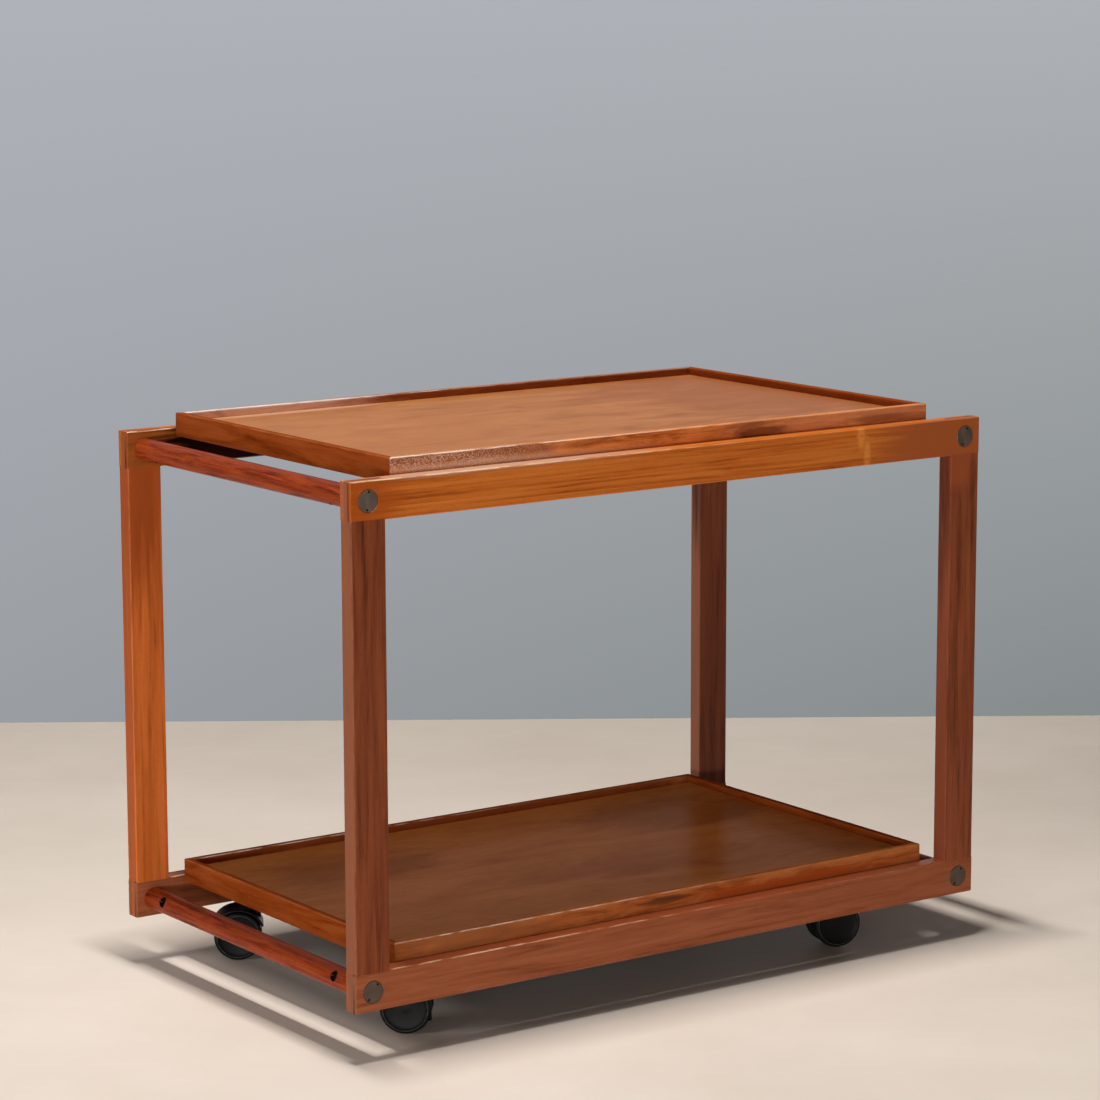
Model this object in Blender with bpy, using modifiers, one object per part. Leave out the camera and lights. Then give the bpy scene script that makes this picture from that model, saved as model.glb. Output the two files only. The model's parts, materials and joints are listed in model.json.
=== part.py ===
"""Serving trolley in oiled hardwood with two loose trays on four twin-wheel casters.

Metres, +Z up. The origin is on the floor below the middle of the trolley. X runs along the
trolley, the near side faces -Y and the left end faces -X.
"""
import bpy
import bmesh
from math import cos, pi, radians, sin
from mathutils import Matrix, Vector

# Fits
JOINT_GAP = 0.0003
CUT_OVERRUN = 0.002
MERGE_DISTANCE = 0.00001

# Side frames: two legs and two rails of one stock, bridle-jointed flush at the corners
FRAME_LENGTH = 0.760
FRAME_DEPTH = 0.434
FRAME_HEIGHT = 0.500
STOCK_THICKNESS = 0.018
RAIL_HEIGHT = 0.0375
LEG_WIDTH = 0.0375
TENON_THICKNESS = 0.006
FRAME_ARRIS = 0.0012

# Cross rods, held to the side frames by a bolt into a barrel nut at each end
ROD_DIAMETER = 0.022
ROD_CHAMFER = 0.0006
NUT_DIAMETER = 0.010
NUT_LENGTH = 0.016
NUT_INSET = 0.036
TOP_ROD_NUT_ANGLE = radians(257)
BOTTOM_ROD_NUT_ANGLE = radians(155)

# Bolts with a flush disc head that a pin spanner turns
BOLT_DIAMETER = 0.006
BOLT_PAST_NUT = 0.002
BOLT_BORE_ROOM = 0.003
HEAD_DIAMETER = 0.0215
HEAD_THICKNESS = 0.0032
HEAD_CHAMFER = 0.0004
HEAD_SIDE_CLEARANCE = 0.0004
SPANNER_HOLE_DIAMETER = 0.0022
SPANNER_HOLE_DEPTH = 0.0018
SPANNER_HOLE_RADIUS = 0.0084
HEAD_TURNS = {("near", "left", "top"): radians(6), ("near", "left", "bottom"): radians(35),
              ("near", "right", "top"): radians(18), ("near", "right", "bottom"): radians(30),
              ("far", "left", "top"): radians(52), ("far", "left", "bottom"): radians(74),
              ("far", "right", "top"): radians(12), ("far", "right", "bottom"): radians(-40)}

# Bearers: cross members, stub-tenoned into the rails, that carry the trays and the casters
BEARER_WIDTH = 0.044
BEARER_ARRIS = 0.001
TOP_BEARER_END_INSET = 0.148
TOP_BEARER_THICKNESS = 0.016
TOP_BEARER_DROP = 0.0086
BOTTOM_BEARER_THICKNESS = 0.0188
BOTTOM_BEARER_RISE = 0.0117
BEARER_TENON_LENGTH = 0.008
BEARER_TENON_THICKNESS = 0.009

# Trays: four mitred rims round a panel that is let into their grooves, the same on both faces
TRAY_END_INSET = 0.0545
TRAY_SIDE_CLEARANCE = 0.0015
TRAY_HEIGHT = 0.024
RIM_THICKNESS = 0.0075
RIM_ARRIS = 0.0011
PANEL_THICKNESS = 0.008
GROOVE_DEPTH = 0.0035

# Casters: a plate, a swivelling hooded body and two wheels on one axle
CASTER_END_INSET = 0.116
CASTER_SIDE_INSET = 0.0585
CASTER_TRAIL = 0.019
TRAIL_HEADING = radians(141.5)
CASTER_TURNS = {"near_left": 0.0, "far_left": radians(8.5),
                "near_right": radians(21), "far_right": radians(13)}
WHEEL_DIAMETER = 0.050
WHEEL_WIDTH = 0.0115
WHEEL_SPACING = 0.011
TREAD_ROUND = 0.0024
RIM_RING_WIDTH = 0.0030
DISH_DEPTH = 0.0034
DISH_EDGE_DEPTH_SHARE = 2 / 3
DISH_WALL = 0.0016
HUB_BORE_DEPTH = 0.0065
AXLE_DIAMETER = 0.006
HOOD_CLEARANCE = 0.0016
HOOD_WALL = 0.0018
HOOD_WIDTH = 0.033
HOOD_REAR_ANGLE = radians(28)
HOOD_FRONT_ANGLE = radians(158)
WEB_SETBACK_ANGLE = radians(4)
WEB_THICKNESS = 0.007
WEB_FOOT_RADIUS = 0.0095
WEB_FOOT_RISE = 0.002
BOSS_DIAMETER = 0.010
BOSS_CAP_DIAMETER = 0.014
BOSS_FOOT_HEIGHT = 0.010
BOSS_RISE = 0.0035
KING_PIN_DIAMETER = 0.0055
COLLAR_DIAMETER = 0.011
COLLAR_THICKNESS = 0.0012
PIN_END_RISE = 0.002
PLATE_SIZE = 0.040
PLATE_THICKNESS = 0.0025
PLATE_CORNER = 0.004
SCREW_SPACING = 0.030
SCREW_DIAMETER = 0.0035
SCREW_LENGTH = 0.013
SCREW_POINT = 0.003
SCREW_HEAD_DIAMETER = 0.007
SCREW_HEAD_HEIGHT = 0.0022

# Facets round one turn, and along each rounded edge
ROD_FACETS = 24
HEAD_FACETS = 20
NUT_FACETS = 14
BOLT_FACETS = 10
WHEEL_FACETS = 24
PIN_FACETS = 14
SCREW_FACETS = 8
HOOD_FACETS = 10
WEB_FOOT_FACETS = 5
ROUND_FACETS = 2
INNER_TREAD_FACETS = 1
ARRIS_FACETS = 2
SMOOTH_BELOW = radians(35)
FLAT_WITHIN = radians(0.1)

# Heights that follow from the casters, which carry everything
AXLE_HEIGHT = WHEEL_DIAMETER / 2 * cos(pi / WHEEL_FACETS)
HOOD_INNER_RADIUS = WHEEL_DIAMETER / 2 + HOOD_CLEARANCE
HOOD_OUTER_RADIUS = HOOD_INNER_RADIUS + HOOD_WALL
BOSS_TOP = AXLE_HEIGHT + HOOD_OUTER_RADIUS + BOSS_RISE
PLATE_UNDERSIDE = BOSS_TOP + JOINT_GAP + COLLAR_THICKNESS
PLATE_TOP = PLATE_UNDERSIDE + PLATE_THICKNESS
FRAME_BASE = PLATE_TOP + JOINT_GAP - BOTTOM_BEARER_RISE
FRAME_TOP = FRAME_BASE + FRAME_HEIGHT
BOTTOM_BEARER_TOP = FRAME_BASE + BOTTOM_BEARER_RISE + BOTTOM_BEARER_THICKNESS
TOP_BEARER_TOP = FRAME_TOP - TOP_BEARER_DROP

# Widths and lengths that follow from the side frames
INNER_WIDTH = FRAME_DEPTH - 2 * STOCK_THICKNESS
TRAY_LENGTH = FRAME_LENGTH - 2 * TRAY_END_INSET
TRAY_WIDTH = INNER_WIDTH - 2 * TRAY_SIDE_CLEARANCE
ROD_LENGTH = INNER_WIDTH - 2 * JOINT_GAP
ROD_X = FRAME_LENGTH / 2 - LEG_WIDTH / 2
TOP_ROD_HEIGHT = FRAME_TOP - RAIL_HEIGHT / 2
BOTTOM_ROD_HEIGHT = FRAME_BASE + RAIL_HEIGHT / 2
CASTER_X = FRAME_LENGTH / 2 - CASTER_END_INSET
CASTER_Y = FRAME_DEPTH / 2 - CASTER_SIDE_INSET

SIDES = {"near": -1, "far": 1}
ENDS = {"left": -1, "right": 1}


def clear_scene():
    for obj in list(bpy.data.objects):
        bpy.data.objects.remove(obj, do_unlink=True)


def make_collection(name):
    collection = bpy.data.collections.new(name)
    bpy.context.scene.collection.children.link(collection)
    return collection


def make_material(name, colour, roughness, metallic=0.0):
    material = bpy.data.materials.new(name)
    material.use_nodes = True
    shader = material.node_tree.nodes["Principled BSDF"]
    shader.inputs["Base Color"].default_value = (*colour, 1.0)
    shader.inputs["Roughness"].default_value = roughness
    shader.inputs["Metallic"].default_value = metallic
    return material


def link_object(name, data, collection, material=None):
    obj = bpy.data.objects.new(name, data)
    collection.objects.link(obj)
    if material:
        data.materials.append(material)
    return obj


def mesh_object(name, bm, collection, material=None):
    """Make an object from a bmesh, with its flats sharp and its curved faces smooth."""
    mesh = bpy.data.meshes.new(name)
    bm.to_mesh(mesh)
    bm.free()
    mesh.shade_smooth()
    mesh.set_sharp_from_angle(angle=SMOOTH_BELOW)
    return link_object(name, mesh, collection, material)


def add_box(bm, size, centre=(0, 0, 0)):
    place = Matrix.Translation(centre) @ Matrix.Diagonal((*size, 1))
    bmesh.ops.create_cube(bm, size=1, matrix=place)


def add_cylinder(bm, diameter, length, facets, centre=(0, 0, 0), along="Z"):
    turn = {"X": Matrix.Rotation(pi / 2, 4, "Y"),
            "Y": Matrix.Rotation(pi / 2, 4, "X"),
            "Z": Matrix.Identity(4)}[along]
    bmesh.ops.create_cone(bm, cap_ends=True, cap_tris=False, segments=facets,
                          radius1=diameter / 2, radius2=diameter / 2, depth=length,
                          matrix=Matrix.Translation(centre) @ turn)


def round_long_edges(bm, axis, radius):
    """Round the edges of a box that run along one axis (0, 1 or 2)."""
    long_edges = []
    for edge in bm.edges:
        run = edge.verts[1].co - edge.verts[0].co
        if abs(run[axis]) > MERGE_DISTANCE:
            long_edges.append(edge)
    bmesh.ops.bevel(bm, geom=long_edges, offset=radius, offset_type="OFFSET",
                    segments=ARRIS_FACETS, profile=0.5, affect="EDGES")


def bar(name, size, axis, arris, material):
    """A sawn bar with its four long arrises eased."""
    bm = bmesh.new()
    add_box(bm, size)
    round_long_edges(bm, axis, arris)
    return mesh_object(name, bm, PARTS, material)


def turned(name, profile, facets, collection, material=None):
    """A turned piece: the profile's (radius, height) points run from its top down to its bottom."""
    points = [(radius, 0, height) for radius, height in profile]
    edges = [(i, i + 1) for i in range(len(points) - 1)]
    mesh = bpy.data.meshes.new(name)
    mesh.from_pydata(points, edges, [])
    obj = link_object(name, mesh, collection, material)
    screw = obj.modifiers.new("turn", "SCREW")
    screw.axis = "Z"
    screw.steps = facets
    screw.render_steps = facets
    screw.use_merge_vertices = True
    screw.merge_threshold = MERGE_DISTANCE
    screw.use_smooth_shade = True
    return obj


def outline_solid(name, points, thickness, collection, material=None):
    """A flat outline of (x, z) points in the XZ plane, as thick as stated and centred on Y = 0."""
    curve = bpy.data.curves.new(name, "CURVE")
    curve.dimensions = "2D"
    curve.fill_mode = "BOTH"
    curve.extrude = thickness / 2
    spline = curve.splines.new("POLY")
    spline.points.add(len(points) - 1)
    for point, (x, z) in zip(spline.points, points):
        point.co = (x, z, 0, 1)
    spline.use_cyclic_u = True
    outline = link_object(name + "_outline", curve, collection)
    mesh = evaluated_mesh(outline)
    bpy.data.objects.remove(outline, do_unlink=True)
    bm = bmesh.new()
    bm.from_mesh(mesh)
    bmesh.ops.remove_doubles(bm, verts=bm.verts, dist=MERGE_DISTANCE)
    bmesh.ops.dissolve_limit(bm, angle_limit=FLAT_WITHIN, verts=bm.verts, edges=bm.edges)
    bmesh.ops.rotate(bm, verts=bm.verts, cent=(0, 0, 0), matrix=Matrix.Rotation(pi / 2, 3, "X"))
    return mesh_object(name, bm, collection, material)


def combine(target, tool, operation):
    """Cut or join a piece with a tool that lies in the piece's own coordinates."""
    tool.parent = target
    tool.hide_render = True
    tool.display_type = "WIRE"
    boolean = target.modifiers.new(tool.name, "BOOLEAN")
    boolean.operation = operation
    boolean.solver = "EXACT"
    boolean.object = tool


def cut(target, bm):
    combine(target, mesh_object(target.name + "_cutter", bm, CUTTERS), "DIFFERENCE")


def evaluated_mesh(obj):
    return bpy.data.meshes.new_from_object(obj.evaluated_get(bpy.context.evaluated_depsgraph_get()))


def remove_with_tools(obj):
    for tool in list(obj.children):
        bpy.data.objects.remove(tool, do_unlink=True)
    bpy.data.objects.remove(obj, do_unlink=True)


def arc(radius, start, end, facets, centre=(0, 0)):
    step = (end - start) / facets
    return [(centre[0] + radius * cos(start + i * step), centre[1] + radius * sin(start + i * step))
            for i in range(facets + 1)]


def make_rail(side, level):
    """A rail with an open slot at each end for the leg's tenon, lying with its outer face to -Y."""
    rail = bar(f"{side}_{level}_rail", (FRAME_LENGTH, STOCK_THICKNESS, RAIL_HEIGHT), 0,
               FRAME_ARRIS, WOOD_RAIL)
    rail.location = (0, SIDES[side] * (FRAME_DEPTH - STOCK_THICKNESS) / 2, rod_height(level))
    rail.rotation_euler = (0, 0, pi if side == "far" else 0)
    slots = bmesh.new()
    slot_depth = LEG_WIDTH + JOINT_GAP + CUT_OVERRUN
    slot_size = (slot_depth, TENON_THICKNESS + 2 * JOINT_GAP, RAIL_HEIGHT + 2 * CUT_OVERRUN)
    for end in ENDS.values():
        slot_x = end * (FRAME_LENGTH / 2 + CUT_OVERRUN - slot_depth / 2)
        add_box(slots, slot_size, (slot_x, 0, 0))
    cut(rail, slots)
    cut(rail, bolt_holes([(end * ROD_X, 0) for end in ENDS.values()]))
    cut(rail, bearer_mortises(level))


def bolt_holes(places):
    """Cutters for a bolt and its disc head, through the stock at each (x, z) place."""
    holes = bmesh.new()
    recess_depth = HEAD_THICKNESS + JOINT_GAP
    for x, z in places:
        add_cylinder(holes, BOLT_DIAMETER + 2 * JOINT_GAP, STOCK_THICKNESS + 2 * CUT_OVERRUN,
                     BOLT_FACETS, (x, 0, z), "Y")
    recesses = bmesh.new()
    for x, z in places:
        recess_y = (recess_depth - STOCK_THICKNESS - CUT_OVERRUN) / 2
        add_cylinder(recesses, HEAD_DIAMETER + 2 * HEAD_SIDE_CLEARANCE, recess_depth + CUT_OVERRUN,
                     HEAD_FACETS, (x, recess_y, z), "Y")
    bores = mesh_object("bolt_bores", holes, CUTTERS)
    sinks = mesh_object("head_recesses", recesses, CUTTERS)
    combine(sinks, bores, "UNION")
    joined = bmesh.new()
    mesh = evaluated_mesh(sinks)
    joined.from_mesh(mesh)
    remove_with_tools(sinks)
    return joined


def bearer_mortises(level):
    """Cutters for the blind mortises in a rail's inner face."""
    if level == "top":
        middle = RAIL_HEIGHT / 2 - TOP_BEARER_DROP - TOP_BEARER_THICKNESS / 2
    else:
        middle = BOTTOM_BEARER_RISE + BOTTOM_BEARER_THICKNESS / 2 - RAIL_HEIGHT / 2
    mortises = bmesh.new()
    depth = BEARER_TENON_LENGTH + JOINT_GAP + CUT_OVERRUN
    size = (BEARER_WIDTH + 2 * JOINT_GAP, depth, BEARER_TENON_THICKNESS + 2 * JOINT_GAP)
    mortise_y = STOCK_THICKNESS / 2 + CUT_OVERRUN - depth / 2
    for end in ENDS.values():
        add_box(mortises, size, (end * bearer_x(level), mortise_y, middle))
    return mortises


def bearer_x(level):
    """The bottom bearers lie over the casters, the top ones further in, out of sight."""
    return FRAME_LENGTH / 2 - TOP_BEARER_END_INSET if level == "top" else CASTER_X


def make_leg(side, end):
    """A leg whose ends are thinned to the tenons that stand in the rails' slots."""
    leg = bar(f"{side}_{end}_leg", (LEG_WIDTH, STOCK_THICKNESS, FRAME_HEIGHT), 2,
              FRAME_ARRIS, WOOD_LEG)
    leg.location = (ENDS[end] * ROD_X, SIDES[side] * (FRAME_DEPTH - STOCK_THICKNESS) / 2,
                    FRAME_BASE + FRAME_HEIGHT / 2)
    cheeks = bmesh.new()
    cheek_height = RAIL_HEIGHT + JOINT_GAP + CUT_OVERRUN
    cheek_depth = (STOCK_THICKNESS - TENON_THICKNESS) / 2 + CUT_OVERRUN
    cheek_y = TENON_THICKNESS / 2 + cheek_depth / 2
    cheek_z = FRAME_HEIGHT / 2 + CUT_OVERRUN - cheek_height / 2
    for across in SIDES.values():
        for up in (-1, 1):
            add_box(cheeks, (LEG_WIDTH + 2 * CUT_OVERRUN, cheek_depth, cheek_height),
                    (0, across * cheek_y, up * cheek_z))
    cut(leg, cheeks)
    bores = bmesh.new()
    for up in (-1, 1):
        add_cylinder(bores, BOLT_DIAMETER + 2 * JOINT_GAP, STOCK_THICKNESS, BOLT_FACETS,
                     (0, 0, up * (FRAME_HEIGHT - RAIL_HEIGHT) / 2), "Y")
    cut(leg, bores)


def make_rod(end, level):
    """A cross rod, bored along its axis for the bolts and across it for the barrel nuts."""
    bm = bmesh.new()
    add_cylinder(bm, ROD_DIAMETER, ROD_LENGTH, ROD_FACETS, along="Y")
    rims = [edge for edge in bm.edges
            if any(len(face.verts) == ROD_FACETS for face in edge.link_faces)]
    bmesh.ops.bevel(bm, geom=rims, offset=ROD_CHAMFER, offset_type="OFFSET", segments=1,
                    affect="EDGES")
    rod = mesh_object(f"{end}_{level}_rod", bm, PARTS, WOOD_ROD)
    rod.location = (ENDS[end] * ROD_X, 0, rod_height(level))
    rod.rotation_euler = (0, rod_turn(end, level), 0)
    bores = bmesh.new()
    bore_depth = NUT_INSET + NUT_DIAMETER / 2 + BOLT_PAST_NUT + BOLT_BORE_ROOM + CUT_OVERRUN
    for side in SIDES.values():
        add_cylinder(bores, BOLT_DIAMETER + 2 * JOINT_GAP, bore_depth, BOLT_FACETS,
                     (0, side * (ROD_LENGTH / 2 + CUT_OVERRUN - bore_depth / 2), 0), "Y")
    cut(rod, bores)
    nut_holes = bmesh.new()
    hole_length = ROD_DIAMETER / 2 + CUT_OVERRUN + NUT_LENGTH / 2 + JOINT_GAP
    hole_x = ROD_DIAMETER / 2 + CUT_OVERRUN - hole_length / 2
    for side in SIDES.values():
        add_cylinder(nut_holes, NUT_DIAMETER + 2 * JOINT_GAP, hole_length, NUT_FACETS,
                     (hole_x, side * nut_y(), 0), "X")
    cut(rod, nut_holes)


def nut_y():
    return INNER_WIDTH / 2 - NUT_INSET


def rod_height(level):
    return TOP_ROD_HEIGHT if level == "top" else BOTTOM_ROD_HEIGHT


def rod_turn(end, level):
    """The turn about Y that brings a nut's open end, +X on the rod itself, to its real direction."""
    angle = TOP_ROD_NUT_ANGLE if level == "top" else BOTTOM_ROD_NUT_ANGLE
    return -angle if end == "left" else angle - pi


def make_barrel_nut(side, end, level):
    """A barrel nut: a short steel cylinder in the rod, with the bolt's hole across it."""
    bm = bmesh.new()
    add_cylinder(bm, NUT_DIAMETER, NUT_LENGTH, NUT_FACETS, along="X")
    nut = mesh_object(f"{side}_{end}_{level}_nut", bm, PARTS, STEEL)
    nut.location = (ENDS[end] * ROD_X, SIDES[side] * nut_y(), rod_height(level))
    nut.rotation_euler = (0, rod_turn(end, level), 0)
    bore = bmesh.new()
    add_cylinder(bore, BOLT_DIAMETER + 2 * JOINT_GAP, NUT_DIAMETER + 2 * CUT_OVERRUN,
                 BOLT_FACETS, along="Y")
    cut(nut, bore)


def make_bolt(side, end, level):
    """A bolt whose disc head lies flush in the rail's outer face, with two holes for a spanner."""
    shank_end = STOCK_THICKNESS + NUT_INSET + NUT_DIAMETER / 2 + BOLT_PAST_NUT
    head = HEAD_DIAMETER / 2
    shank = BOLT_DIAMETER / 2
    profile = [(0, 0), (head - HEAD_CHAMFER, 0), (head, -HEAD_CHAMFER), (head, -HEAD_THICKNESS),
               (shank, -HEAD_THICKNESS), (shank, HEAD_CHAMFER - shank_end),
               (shank - HEAD_CHAMFER, -shank_end), (0, -shank_end)]
    bolt = turned(f"{side}_{end}_{level}_bolt", profile, HEAD_FACETS, PARTS, STEEL)
    bolt.location = (ENDS[end] * ROD_X, SIDES[side] * FRAME_DEPTH / 2, rod_height(level))
    to_face = Matrix.Rotation(pi / 2, 4, "X")
    about = Matrix.Rotation(pi if side == "far" else 0, 4, "Z")
    spin = Matrix.Rotation(-HEAD_TURNS[side, end, level], 4, "Z")
    bolt.rotation_euler = (about @ to_face @ spin).to_euler()
    holes = bmesh.new()
    hole_length = SPANNER_HOLE_DEPTH + CUT_OVERRUN
    for across in (-1, 1):
        add_cylinder(holes, SPANNER_HOLE_DIAMETER, hole_length, SCREW_FACETS,
                     (0, across * SPANNER_HOLE_RADIUS, CUT_OVERRUN - hole_length / 2))
    cut(bolt, holes)


def make_bearer(end, level):
    """A bearer with a stub tenon at each end; the bottom ones take the casters' screws."""
    thickness = TOP_BEARER_THICKNESS if level == "top" else BOTTOM_BEARER_THICKNESS
    top = TOP_BEARER_TOP if level == "top" else BOTTOM_BEARER_TOP
    length = INNER_WIDTH + 2 * BEARER_TENON_LENGTH
    bearer = bar(f"{end}_{level}_bearer", (BEARER_WIDTH, length, thickness), 1,
                 BEARER_ARRIS, WOOD_BEARER)
    bearer.location = (ENDS[end] * bearer_x(level), 0, top - thickness / 2)
    shoulders = bmesh.new()
    shoulder_length = BEARER_TENON_LENGTH + JOINT_GAP + CUT_OVERRUN
    shoulder_height = (thickness - BEARER_TENON_THICKNESS) / 2 + CUT_OVERRUN
    shoulder_y = length / 2 + CUT_OVERRUN - shoulder_length / 2
    shoulder_z = BEARER_TENON_THICKNESS / 2 + shoulder_height / 2
    for side in SIDES.values():
        for up in (-1, 1):
            add_box(shoulders, (BEARER_WIDTH + 2 * CUT_OVERRUN, shoulder_length, shoulder_height),
                    (0, side * shoulder_y, up * shoulder_z))
    cut(bearer, shoulders)
    if level == "bottom":
        pilots = bmesh.new()
        pilot_length = SCREW_LENGTH - PLATE_THICKNESS + 2 * CUT_OVERRUN
        pilot_z = pilot_length / 2 - CUT_OVERRUN - thickness / 2
        for side in SIDES.values():
            for x, y in screw_places():
                add_cylinder(pilots, SCREW_DIAMETER + 2 * JOINT_GAP, pilot_length, SCREW_FACETS,
                             (x, side * CASTER_Y + y, pilot_z))
        cut(bearer, pilots)


def screw_places():
    """Where a caster plate's screws stand, from the plate's middle."""
    return [(x * SCREW_SPACING / 2, y * SCREW_SPACING / 2) for x in (-1, 1) for y in (-1, 1)]


def make_tray(level, underside):
    """A tray of five pieces that hang from one empty at the middle of its underside."""
    holder = link_object(f"{level}_tray", None, PARTS)
    holder.location = (0, 0, underside)
    pieces = []
    for side, across in SIDES.items():
        rim = make_rim(f"{level}_tray_{side}_rim", TRAY_LENGTH)
        rim.location = (0, across * (TRAY_WIDTH - RIM_THICKNESS) / 2, TRAY_HEIGHT / 2)
        rim.rotation_euler = (0, 0, 0 if side == "near" else pi)
        pieces.append(rim)
    for end, along in ENDS.items():
        rim = make_rim(f"{level}_tray_{end}_rim", TRAY_WIDTH)
        rim.location = (along * (TRAY_LENGTH - RIM_THICKNESS) / 2, 0, TRAY_HEIGHT / 2)
        rim.rotation_euler = (0, 0, along * pi / 2)
        pieces.append(rim)
    inset = 2 * (RIM_THICKNESS - GROOVE_DEPTH)
    panel = bmesh.new()
    add_box(panel, (TRAY_LENGTH - inset, TRAY_WIDTH - inset, PANEL_THICKNESS))
    board = mesh_object(f"{level}_tray_panel", panel, PARTS, WOOD_PANEL)
    board.location = (0, 0, TRAY_HEIGHT / 2)
    pieces.append(board)
    for piece in pieces:
        piece.parent = holder


def make_rim(name, length):
    """A tray rim along X, outer face to -Y, mitred at both ends and grooved for the panel."""
    bm = bmesh.new()
    add_box(bm, (length, RIM_THICKNESS, TRAY_HEIGHT))
    round_long_edges(bm, 0, RIM_ARRIS)
    for end in (-1, 1):
        corner = Vector((end * (length / 2 - JOINT_GAP), -RIM_THICKNESS / 2, 0))
        sliced = bmesh.ops.bisect_plane(bm, geom=bm.verts[:] + bm.edges[:] + bm.faces[:],
                                        plane_co=corner, plane_no=(end, 1, 0),
                                        dist=MERGE_DISTANCE, clear_outer=True)
        open_edges = [item for item in sliced["geom_cut"] if isinstance(item, bmesh.types.BMEdge)]
        bmesh.ops.edgeloop_fill(bm, edges=open_edges)
    bmesh.ops.recalc_face_normals(bm, faces=bm.faces)
    rim = mesh_object(name, bm, PARTS, WOOD_RIM)
    groove = bmesh.new()
    depth = GROOVE_DEPTH + JOINT_GAP + CUT_OVERRUN
    add_box(groove, (length + 2 * CUT_OVERRUN, depth, PANEL_THICKNESS + 2 * JOINT_GAP),
            (0, RIM_THICKNESS / 2 + CUT_OVERRUN - depth / 2, 0))
    cut(rim, groove)
    return rim


def wheel_profile():
    """From the middle of the dished outer face, over the ring and tread, to the blind hub bore."""
    radius = WHEEL_DIAMETER / 2
    ring_outer = radius - TREAD_ROUND
    ring_inner = ring_outer - RIM_RING_WIDTH
    bore = AXLE_DIAMETER / 2 + JOINT_GAP
    outer_round = arc(TREAD_ROUND, pi / 2, 0, ROUND_FACETS,
                      (ring_outer, WHEEL_WIDTH - TREAD_ROUND))
    inner_round = arc(TREAD_ROUND, 0, -pi / 2, INNER_TREAD_FACETS, (ring_outer, TREAD_ROUND))
    return [(0, WHEEL_WIDTH - DISH_DEPTH),
            (ring_inner - DISH_WALL, WHEEL_WIDTH - DISH_DEPTH * DISH_EDGE_DEPTH_SHARE),
            (ring_inner, WHEEL_WIDTH),
            *outer_round, *inner_round,
            (bore, 0), (bore, HUB_BORE_DEPTH), (0, HUB_BORE_DEPTH)]


def make_caster_body(name):
    """The hooded body: a web between the wheels, a hood over them, a boss for the king pin and,
    pressed into the web, the steel axle."""
    axle = (CASTER_TRAIL, AXLE_HEIGHT)
    shell_middle = HOOD_INNER_RADIUS + HOOD_WALL / 2
    web_rear = HOOD_REAR_ANGLE + WEB_SETBACK_ANGLE
    web_front = HOOD_FRONT_ANGLE - WEB_SETBACK_ANGLE
    web_points = arc(shell_middle, web_rear, web_front, HOOD_FACETS, axle)
    web_points.append((0, BOSS_FOOT_HEIGHT + WEB_FOOT_RISE))
    web_points += arc(WEB_FOOT_RADIUS, -pi / 2, web_rear, WEB_FOOT_FACETS, axle)
    body = outline_solid(name, web_points, WEB_THICKNESS, PARTS, PLASTIC)
    boss = BOSS_DIAMETER / 2
    cap = BOSS_CAP_DIAMETER / 2
    cap_foot = AXLE_HEIGHT + HOOD_INNER_RADIUS
    boss_profile = [(0, BOSS_TOP), (cap, BOSS_TOP), (cap, cap_foot), (boss, cap_foot),
                    (boss, BOSS_FOOT_HEIGHT), (0, BOSS_FOOT_HEIGHT)]
    combine(body, turned(name + "_boss", boss_profile, PIN_FACETS, CUTTERS), "UNION")
    hood_points = arc(HOOD_OUTER_RADIUS, HOOD_REAR_ANGLE, HOOD_FRONT_ANGLE, HOOD_FACETS, axle)
    hood_points += arc(HOOD_INNER_RADIUS, HOOD_FRONT_ANGLE, HOOD_REAR_ANGLE, HOOD_FACETS, axle)
    combine(body, outline_solid(name + "_hood", hood_points, HOOD_WIDTH, CUTTERS), "UNION")
    axle_pin = bmesh.new()
    add_cylinder(axle_pin, AXLE_DIAMETER, WHEEL_SPACING + 2 * (HUB_BORE_DEPTH - JOINT_GAP),
                 PIN_FACETS, (CASTER_TRAIL, 0, AXLE_HEIGHT), "Y")
    combine(body, mesh_object(name + "_axle", axle_pin, CUTTERS), "UNION")
    bore = bmesh.new()
    add_cylinder(bore, KING_PIN_DIAMETER + 2 * JOINT_GAP, BOSS_TOP, PIN_FACETS,
                 (0, 0, BOSS_TOP / 2 + CUT_OVERRUN))
    cut(body, bore)
    return body


def make_caster(corner):
    """One caster; its body and wheels hang from an empty on the swivel axis."""
    side, end = corner.split("_")
    place = (ENDS[end] * CASTER_X, SIDES[side] * CASTER_Y, 0)
    swivel = link_object(f"{corner}_swivel", None, PARTS)
    swivel.location = place
    swivel.rotation_euler = (0, 0, TRAIL_HEADING + CASTER_TURNS[corner])
    make_plate(f"{corner}_caster_plate").location = place
    body = make_caster_body(f"{corner}_caster_body")
    body.parent = swivel
    half_step = pi / WHEEL_FACETS
    for letter, across in (("a", -1), ("b", 1)):
        wheel = turned(f"{corner}_wheel_{letter}", wheel_profile(), WHEEL_FACETS, PARTS, TREAD)
        wheel.location = (CASTER_TRAIL, across * WHEEL_SPACING / 2, AXLE_HEIGHT)
        wheel.rotation_euler = (-across * pi / 2, half_step, 0)
        wheel.parent = swivel


def make_plate(name):
    """The mounting plate, with the king pin riveted in it and its four screws driven home."""
    bm = bmesh.new()
    add_box(bm, (PLATE_SIZE, PLATE_SIZE, PLATE_THICKNESS),
            (0, 0, PLATE_UNDERSIDE + PLATE_THICKNESS / 2))
    round_long_edges(bm, 2, PLATE_CORNER)
    plate = mesh_object(name, bm, PARTS, ZINC)
    combine(plate, make_king_pin(name + "_pin"), "UNION")
    for i, (x, y) in enumerate(screw_places()):
        screw = make_screw(f"{name}_screw_{i + 1}")
        screw.location = (x, y, 0)
        combine(plate, screw, "UNION")
    return plate


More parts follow.
